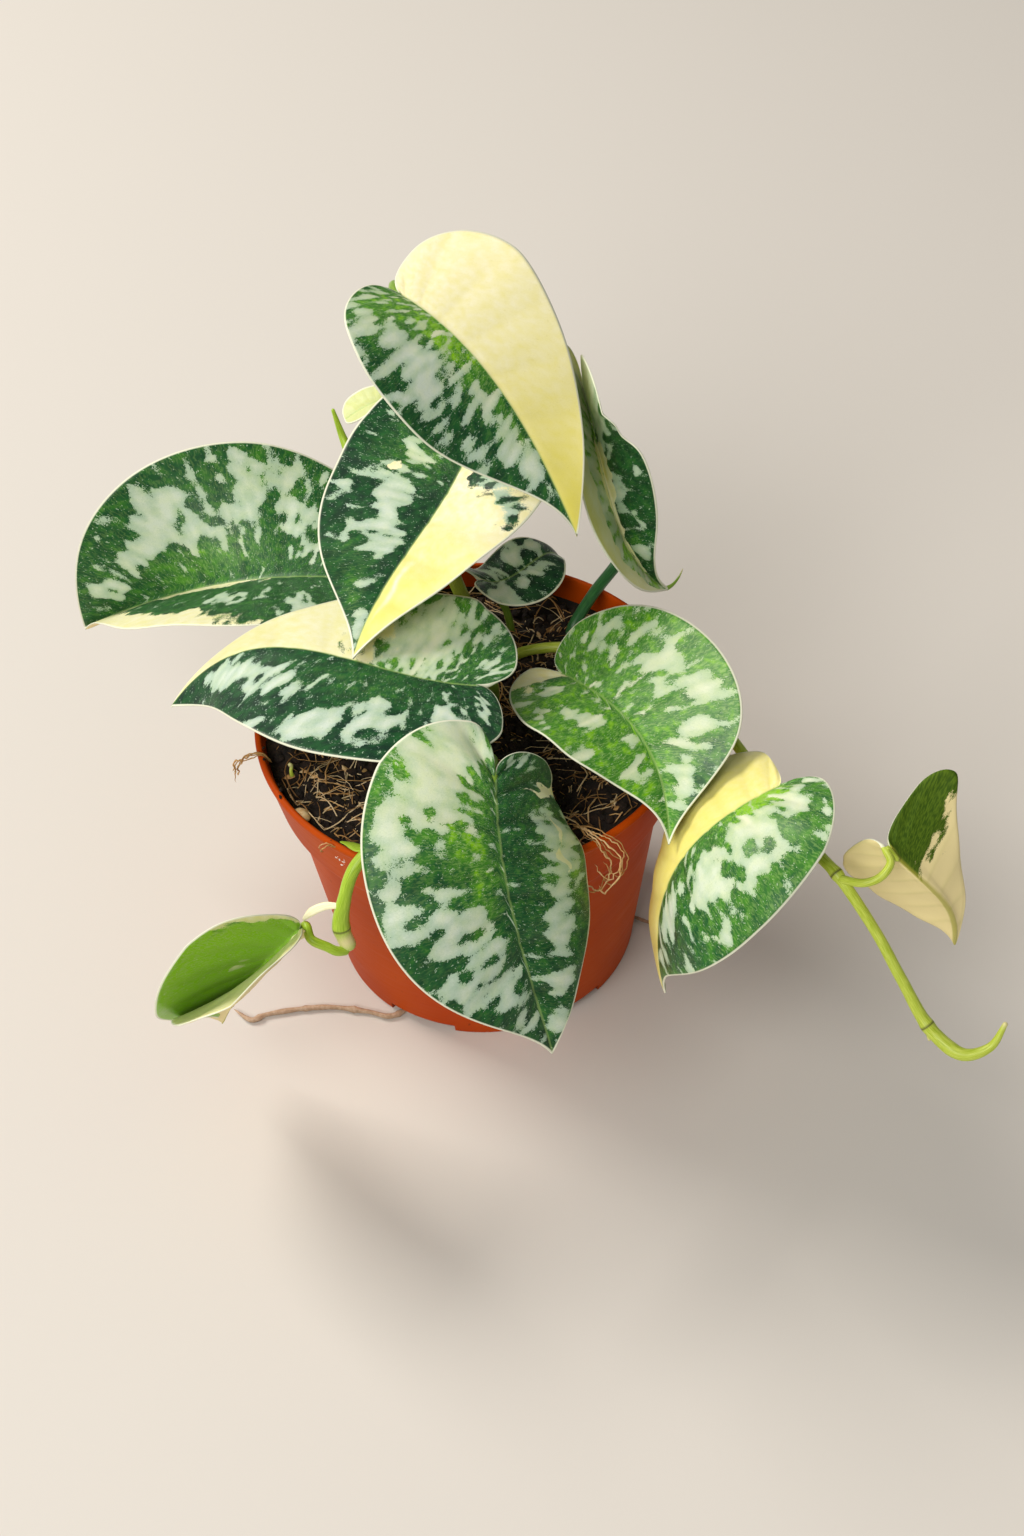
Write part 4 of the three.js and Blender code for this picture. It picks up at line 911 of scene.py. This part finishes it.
def stalk(name, path, radii, finish, nodes=(), slot="stem", flatten=1.0, bare=(), replaces=True):
    """A stem or strap along a path. Each node is (place, swelling): the radius grows by that
    part over 2 mm, and a thin line is marked round it. Each bare spot is (place, reach in mm)."""
    count = int(np.linalg.norm(np.diff(np.array(path, float), axis=0), axis=1).sum() * PLACES_PER_MM)
    place = np.linspace(0, 1, count)
    radius = np.interp(place, np.linspace(0, 1, len(radii)), radii)
    line = np.zeros(count)
    for at, swelling in nodes:
        away = (place - at) * count / PLACES_PER_MM
        radius = radius * (1 + swelling * np.exp(-(away / 1.3) ** 2))
        line = np.maximum(line, np.exp(-(away / 0.28) ** 2))
    pale = np.zeros(count)
    for at, reach in bare:
        pale = np.maximum(pale, 0.9 * np.exp(-((place - at) * count / PLACES_PER_MM / reach) ** 2))
    grid, maps = tube(path, radius, sides=18, per_mm=PLACES_PER_MM, flatten=flatten)
    faces = grid_faces(*grid.shape[:2], wrap=True)
    made = make_object("stalk_" + name, grid.reshape(-1, 3), faces)
    mapped = maps.reshape(-1, 2)[faces.ravel()].astype(np.float32)
    made.data.uv_layers.new(name="run").data.foreach_set("uv", mapped.ravel())
    for key, marked in (("node_line", line), ("bare", pale)):
        mark(made, key, np.repeat(np.interp(np.linspace(0, 1, grid.shape[0]), place, marked),
                                  grid.shape[1]))
    made.data.materials.append(finish)
    weld(made)
    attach(made, "root")
    if replaces:
        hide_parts(name)


stalk("stem_crown", [
    (1, 36, 78), (1, 36, 83), (1, 36, 87), (0, 38, 92), (-3, 42, 100), (-6, 50, 107), (-8, 62, 113.5),
    (-10, 78, 121), (-10, 88, 134), (-11, 90, 150),
], [2.1, 2.1, 2, 2, 2.3, 1.8], yellow_stalk, nodes=[(0.55, 0.15), (0.78, 0.12)])
stalk("stem_spear", [
    (-12, 44, 78), (-12, 44, 82), (-12, 44, 86), (-15, 54, 94), (-24, 76, 101), (-31, 90, 104),
    (-34, 96, 109), (-36.5, 99.5, 118),
], [1.6, 1.6, 1.6, 1.6, 1.6, 1.5, 0.5], lime_stalk, nodes=[(0.6, 0.15)])
stalk("vine_right", [
    (9, 19, 78), (9, 19, 82), (9, 19, 86), (13, 20, 90), (25, 20, 92), (39, 14, 92.8), (53, 5, 93.8),
    (67, -17, 94.5), (78, -46, 96), (85.5, -67, 99.5), (90, -75.5, 99.5), (99, -85.5, 88),
    (104.3, -93.5, 80), (111.4, -103, 70), (118.5, -109, 67.5), (125, -109, 70), (129, -106, 76),
], [1.6, 1.5, 1.5, 1.5, 1.5, 1.5, 1.5, 1.6, 1.5, 1.4, 1.5, 1.9, 0.6], yellow_stalk,
   nodes=[(0.2, 0.15), (0.45, 0.15), (0.672, 0.2), (0.878, 0.14)], bare=[(1.0, 1.4)])
stalk("vine_nub", [
    (110.9, -102.3, 69.2), (110.9, -102.6, 67.4), (111.2, -103.2, 65.9),
], [0.7, 0.6, 0.35], yellow_stalk, bare=[(1.0, 1.5)], replaces=False)
stalk("drawn_out_tip", [
    (57, 42.9, 90.2), (59.3, 44.6, 90.2), (61.3, 46.8, 91), (62.7, 48.9, 92.4),
], [0.75, 0.5, 0.35, 0.12], green_stalk, slot="leaf_green", flatten=0.6, bare=[(1.0, 2.0)], replaces=False)
stalk("shoot_young", [
    (-10, -36, 78), (-10, -36, 86), (-10, -36, 90), (-16, -43, 94.5), (-25, -51, 95.5), (-32, -56.5, 92),
    (-35.5, -60.5, 84), (-37, -63, 76), (-35, -65.5, 69.5),
], [1.9, 1.8, 1.8, 1.75, 1.75, 1.75, 1.75, 2.3, 2.1], lime_stalk, nodes=[(0.9, 0.1)], bare=[(0.95, 2.2)])

# The sheaths that wrapped the young shoot, now open straps: pale, thin and papery
papery = stalk_skin("scindapsus_sheath_papery", "#ece6b2", "#fbf7da")
stalk("sheath_rim", [
    (-36, -46.5, 91.2), (-33.6, -48.5, 92.3), (-30.5, -52, 94.4), (-26, -54.6, 97.2), (-22, -56, 98),
], [0.3, 1.3, 1.9, 1.9, 1.0], lime_stalk, slot="sheath", flatten=0.28)
stalk("sheath_young", [
    (-47, -61, 77.5), (-44.5, -60.3, 79.8), (-41, -60, 81.4), (-38, -61.2, 82.8), (-35.4, -62.2, 83.6),
], [0.5, 1.3, 1.2, 0.9, 0.5], papery, slot="sheath", flatten=0.35)
stalk("sheath_tail", [
    (-43.5, -65.6, 73.6), (-46.5, -63.2, 74.2), (-49, -62.6, 72.6), (-51.1, -63.2, 70),
], [0.4, 1.0, 1.2, 0.5], papery, slot="sheath", flatten=0.3, replaces=False)


# The dry aerial roots: one lies on the ground at the left, one on the right, and small tangles
# of thin ones hang over the rim. Each is a brown, finely wrinkled cord, dead and brittle.
def strands(name, paths, radii, finish, shades, sides=4, rough=0.0, flatten=1.0):
    """Many thin closed cords as one mesh, from an array of centre points (cord, place, xyz) and
    their radii, in metres. Rough shakes each point's distance from the centre."""
    count, places = paths.shape[:2]
    forward = np.gradient(paths, axis=1)
    forward /= np.maximum(np.linalg.norm(forward, axis=2, keepdims=True), 1e-9)
    side = np.cross(forward, (0.13, 0.07, 1.0))
    side /= np.linalg.norm(side, axis=2, keepdims=True)
    over = np.cross(side, forward) * flatten
    turn = np.linspace(0, 2 * np.pi, sides + 1)[:-1]
    ring = np.cos(turn)[:, None] * side[:, :, None] + np.sin(turn)[:, None] * over[:, :, None]
    size = radii[..., None] * (1 + rough * dice.uniform(-1, 1, (count, places, sides)))
    grid = paths[:, :, None] + size[..., None] * ring
    faces = grid_faces(places, sides, wrap=True)[None] + (np.arange(count) * places * sides)[:, None, None]
    made = make_object(name, grid.reshape(-1, 3), faces.reshape(-1, 4), smooth=rough == 0)
    mark(made, "shade", np.repeat(shades, places * sides))
    made.data.materials.append(finish)
    weld(made)
    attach(made, "root")
    return made


def fibre(name, colours):
    """A dry, wrinkled cord's skin: its colour goes from dark to pale by the cord's own shade."""
    made, tree = material(name)
    shade = add(tree, "Attribute", out="Fac", attribute_name="shade")
    place = add(tree, "TexCoord", out="Object")
    wrinkle = add(tree, "TexNoise", {"Vector": place, "Scale": 900.0, "Detail": 3.0})
    tone = add(tree, "Math", [wrinkle, 0.5, shade], operation="MULTIPLY_ADD")
    hue = add(tree, "ValToRGB", {"Fac": tone}, stops=zip((0.2, 0.5, 0.75, 1.0), colours))
    rough = add(tree, "Bump", {"Strength": 0.3, "Distance": 0.0002, "Height": wrinkle})
    finish_material(tree, {"Base Color": hue, "Roughness": 0.75, "Normal": rough})
    return made


dry_fibre = fibre("coir_and_fine_root_fibre", ("#3a2614", "#8d6435", "#cb9d60", "#ead0a4"))
dry_root = fibre("dry_aerial_root_wrinkled", ("#4a3628", "#86684e", "#b6987c", "#dcc8b0"))


def tangle(node, path, radius, count, spread, places=26, finish=dry_root, replaces=True):
    """Several cords that follow one path side by side: each is the path, pushed aside by a slow
    random wander that grows from the start, with tapered ends."""
    along = smooth_path(path, places)[0] / 1000
    wander = np.cumsum(dice.normal(0, spread / 1000 / 4, (count, places, 3)), axis=1)
    wander *= np.linspace(0, 1, places)[None, :, None] ** 0.5 * (count > 1)
    taper = np.sqrt(np.clip(np.sin(np.pi * np.linspace(0, 1, places)) * 3, 0, 1))
    place = np.linspace(0, 1, places) + dice.uniform(0, 0.15, (count, 1))
    knots = 1 + 0.12 * np.sin(place * 40) + 0.5 * np.exp(-((place % 0.21 - 0.1) / 0.012) ** 2)
    radii = radius / 1000 * taper * knots * dice.uniform(0.7, 1.1, (count, 1))
    made = strands("dry_" + node, along[None] + wander, radii, finish, dice.uniform(0.35, 0.6, count),
                   sides=8)
    if replaces:
        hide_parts(node)


tangle("root_table", [
    (-15, -28.5, 4.4), (-17.5, -29.5, 2), (-23, -33, 1), (-29.8, -36.5, 1), (-36, -34.5, 1),
    (-48.7, -31.8, 1), (-66.6, -33.3, 1), (-70.4, -34.9, 1), (-76, -30.4, 1),
], 0.72, 1, 0, 70)
tangle("root_right", [
    (32, 1, 4.4), (35, -0.5, 2), (43.4, -4.5, 1), (50, -8, 1), (58, -9, 1),
], 0.6, 1, 0, 40)
tangle("root_rim_left", [
    (-55, -12.6, 86.5), (-57.6, -13, 91.2), (-61, -13, 91), (-65, -11.5, 87.5), (-67, -9, 81),
], 0.22, 4, 1.2, finish=dry_fibre)
tangle("root_rim_right", [
    (25, -43, 88), (29, -49, 92), (32.8, -53, 91.6), (37, -56, 86), (33.5, -60, 83), (30.5, -58, 87),
], 0.2, 6, 1.5, 40, finish=dry_fibre)
tangle("rim_hair", [
    (-36.5, -46.5, 88), (-38.5, -47.2, 90.4), (-40.2, -47.4, 90), (-41, -46.9, 88.4), (-40.4, -46.6, 87.4),
], 0.16, 2, 0.5, finish=dry_fibre, replaces=False)

# Coir and fine dead roots lie over the soil, curled, some standing up in loops, and a few meet
# in small root crowns; crumbs of peat and chips of bark lie between them
FIBRES = 1000
PLACES = 13
CRUMBS = 1500
CHIPS = 130
FILLED_RADIUS = 0.0555
steps = np.arange(PLACES) / (PLACES - 1)
length = dice.uniform(0.003, 0.024, FIBRES)
heading = dice.uniform(0, 2 * np.pi, FIBRES)
start = np.sqrt(dice.uniform(0, 1, FIBRES)) * 0.054
where = dice.uniform(0, 2 * np.pi, FIBRES)
start_x, start_y = start * np.cos(where), start * np.sin(where)
hubs = np.array([(-43, -27), (-36, -36), (22, -47), (40, -22), (-20, 10), (-48, 8), (5, 47)]) / 1000
crown = np.arange(len(hubs) * 9)
start_x[crown], start_y[crown] = hubs[crown // 9].T
heading[crown], length[crown] = crown * 0.7, dice.uniform(0.008, 0.014, len(crown))
bend = dice.normal(0, 0.09, (FIBRES, 1)) + dice.normal(0, 0.13, (FIBRES, PLACES))
bend[crown] *= 0.3
turned = heading[:, None] + np.cumsum(bend, axis=1)
x = start_x[:, None] + np.cumsum(np.cos(turned), axis=1) * (length / PLACES)[:, None]
y = start_y[:, None] + np.cumsum(np.sin(turned), axis=1) * (length / PLACES)[:, None]
inside = np.minimum(1, FILLED_RADIUS / np.maximum(np.hypot(x, y), 1e-6))
x, y = x * inside, y * inside
arch = np.minimum(dice.exponential(0.0009, FIBRES), 0.0035)[:, None] * np.sin(np.pi * steps)[None]
z = soil_height(x, y) + 0.4 * crumbs(x, y) + 0.0003 + arch
taper = np.sqrt(np.clip(np.sin(np.pi * steps) * 4, 0, 1))
radii = dice.uniform(0.00008, 0.00022, (FIBRES, 1)) * taper[None]
fibres = strands("soil_fibres", np.stack([x, y, z], -1), radii, dry_fibre, dice.uniform(0.15, 0.85, FIBRES))


def lumps(name, middle, radius, stretch, finish, shades, flatten):
    """Lumps about the given middles: each a short cord of five rings, thick in the middle, with
    every point shaken, so that no two have one shape."""
    heading = dice.uniform(0, 2 * np.pi, len(middle))
    away = np.stack([np.cos(heading), np.sin(heading), dice.normal(0, 0.25, len(middle))], -1)
    reach = np.array([-1, -0.6, 0, 0.6, 1]) * stretch
    paths = middle[:, None] + away[:, None] * reach[None, :, None] * radius[:, None, None]
    radii = radius[:, None] * np.array([0, 0.8, 1, 0.75, 0])[None]
    made = strands(name, paths, radii, finish, shades, sides=7, rough=0.3, flatten=flatten)


def on_soil(count, size):
    """Random places on the soil, and a random radius for each."""
    far = np.sqrt(dice.uniform(0, 1, count)) * 0.0545
    around = dice.uniform(0, 2 * np.pi, count)
    x, y = far * np.cos(around), far * np.sin(around)
    radius = dice.uniform(*size, count) / 1000
    return np.stack([x, y, soil_height(x, y) + 0.5 * crumbs(x, y) + 0.25 * radius], -1), radius


lumps("soil_crumbs", *on_soil(CRUMBS, (0.5, 1.5)), 1.1, peat, np.zeros(CRUMBS), 0.9)
lumps("soil_chips", *on_soil(CHIPS, (0.5, 1.1)), 2.2, dry_fibre, dice.uniform(0.3, 0.75, CHIPS), 0.4)
# One pale, egg-shaped chip of bark, and the cut end of an old stem, stand out at the left
places = np.linspace(-1, 1, 14)
egg = places[None, :, None] * (0.0014, -0.0026, 0.0003) + (-0.0465, -0.0336, 0.0879)
wide = 0.0021 * np.sqrt(np.clip(1 - places ** 2, 0.01, 1))
pale_chip = strands("pale_chip", egg, wide[None], dry_fibre, np.array([0.62]), sides=14, flatten=0.6)
stalk("cut_stub", [
    (-49.6, -17.4, 85.6), (-49.8, -17, 87.4), (-49.6, -16.4, 89.2), (-50.4, -16.6, 89.8),
], [0.7, 0.5, 0.5, 0.6], yellow_stalk, bare=[(1.0, 1.5)], replaces=False)

# Peat has stuck to the lip of the pot, mostly at the left, and some white perlite to its collar
LIP_CRUMBS = 28
PERLITE_GRAINS = 9
around = np.concatenate([np.radians(dice.normal(196, 14, 16)), dice.uniform(0, 2 * np.pi, LIP_CRUMBS - 16)])
lip = about_axis(dice.uniform(0.0579, 0.0595, LIP_CRUMBS), around, 0.0901)
crumb_radii = dice.uniform(0.1, 0.7, LIP_CRUMBS) ** 2 / 1000
lumps("lip_dirt", lip, crumb_radii, 1.8, peat, np.zeros(LIP_CRUMBS), 0.5)
around = np.radians(dice.uniform(227.5, 233.5, PERLITE_GRAINS))
height = dice.uniform(0.079, 0.0845, PERLITE_GRAINS)
collar = about_axis(0.0564 + (height - 0.0714) * 0.186, around, height)
# Expanded volcanic glass: white, dull and frothy with pores
perlite, tree = material("expanded_perlite_crumb")
froth = add(tree, "TexNoise", {"Vector": add(tree, "TexCoord", out="Object"), "Scale": 4000.0,
                               "Detail": 2.0})
white = add(tree, "ValToRGB", {"Fac": froth}, stops=[(0.3, "#d8d2c6"), (0.6, "#fbf9f4")])
pores = add(tree, "Bump", {"Strength": 0.5, "Distance": 0.0001, "Height": froth})
finish_material(tree, {"Base Color": white, "Roughness": 0.9, "Normal": pores})
grain_radii = dice.uniform(0.0001, 0.0003, PERLITE_GRAINS)
lumps("collar_perlite", collar, grain_radii, 1.7, perlite, np.zeros(PERLITE_GRAINS), 0.8)


bpy.context.view_layer.update()
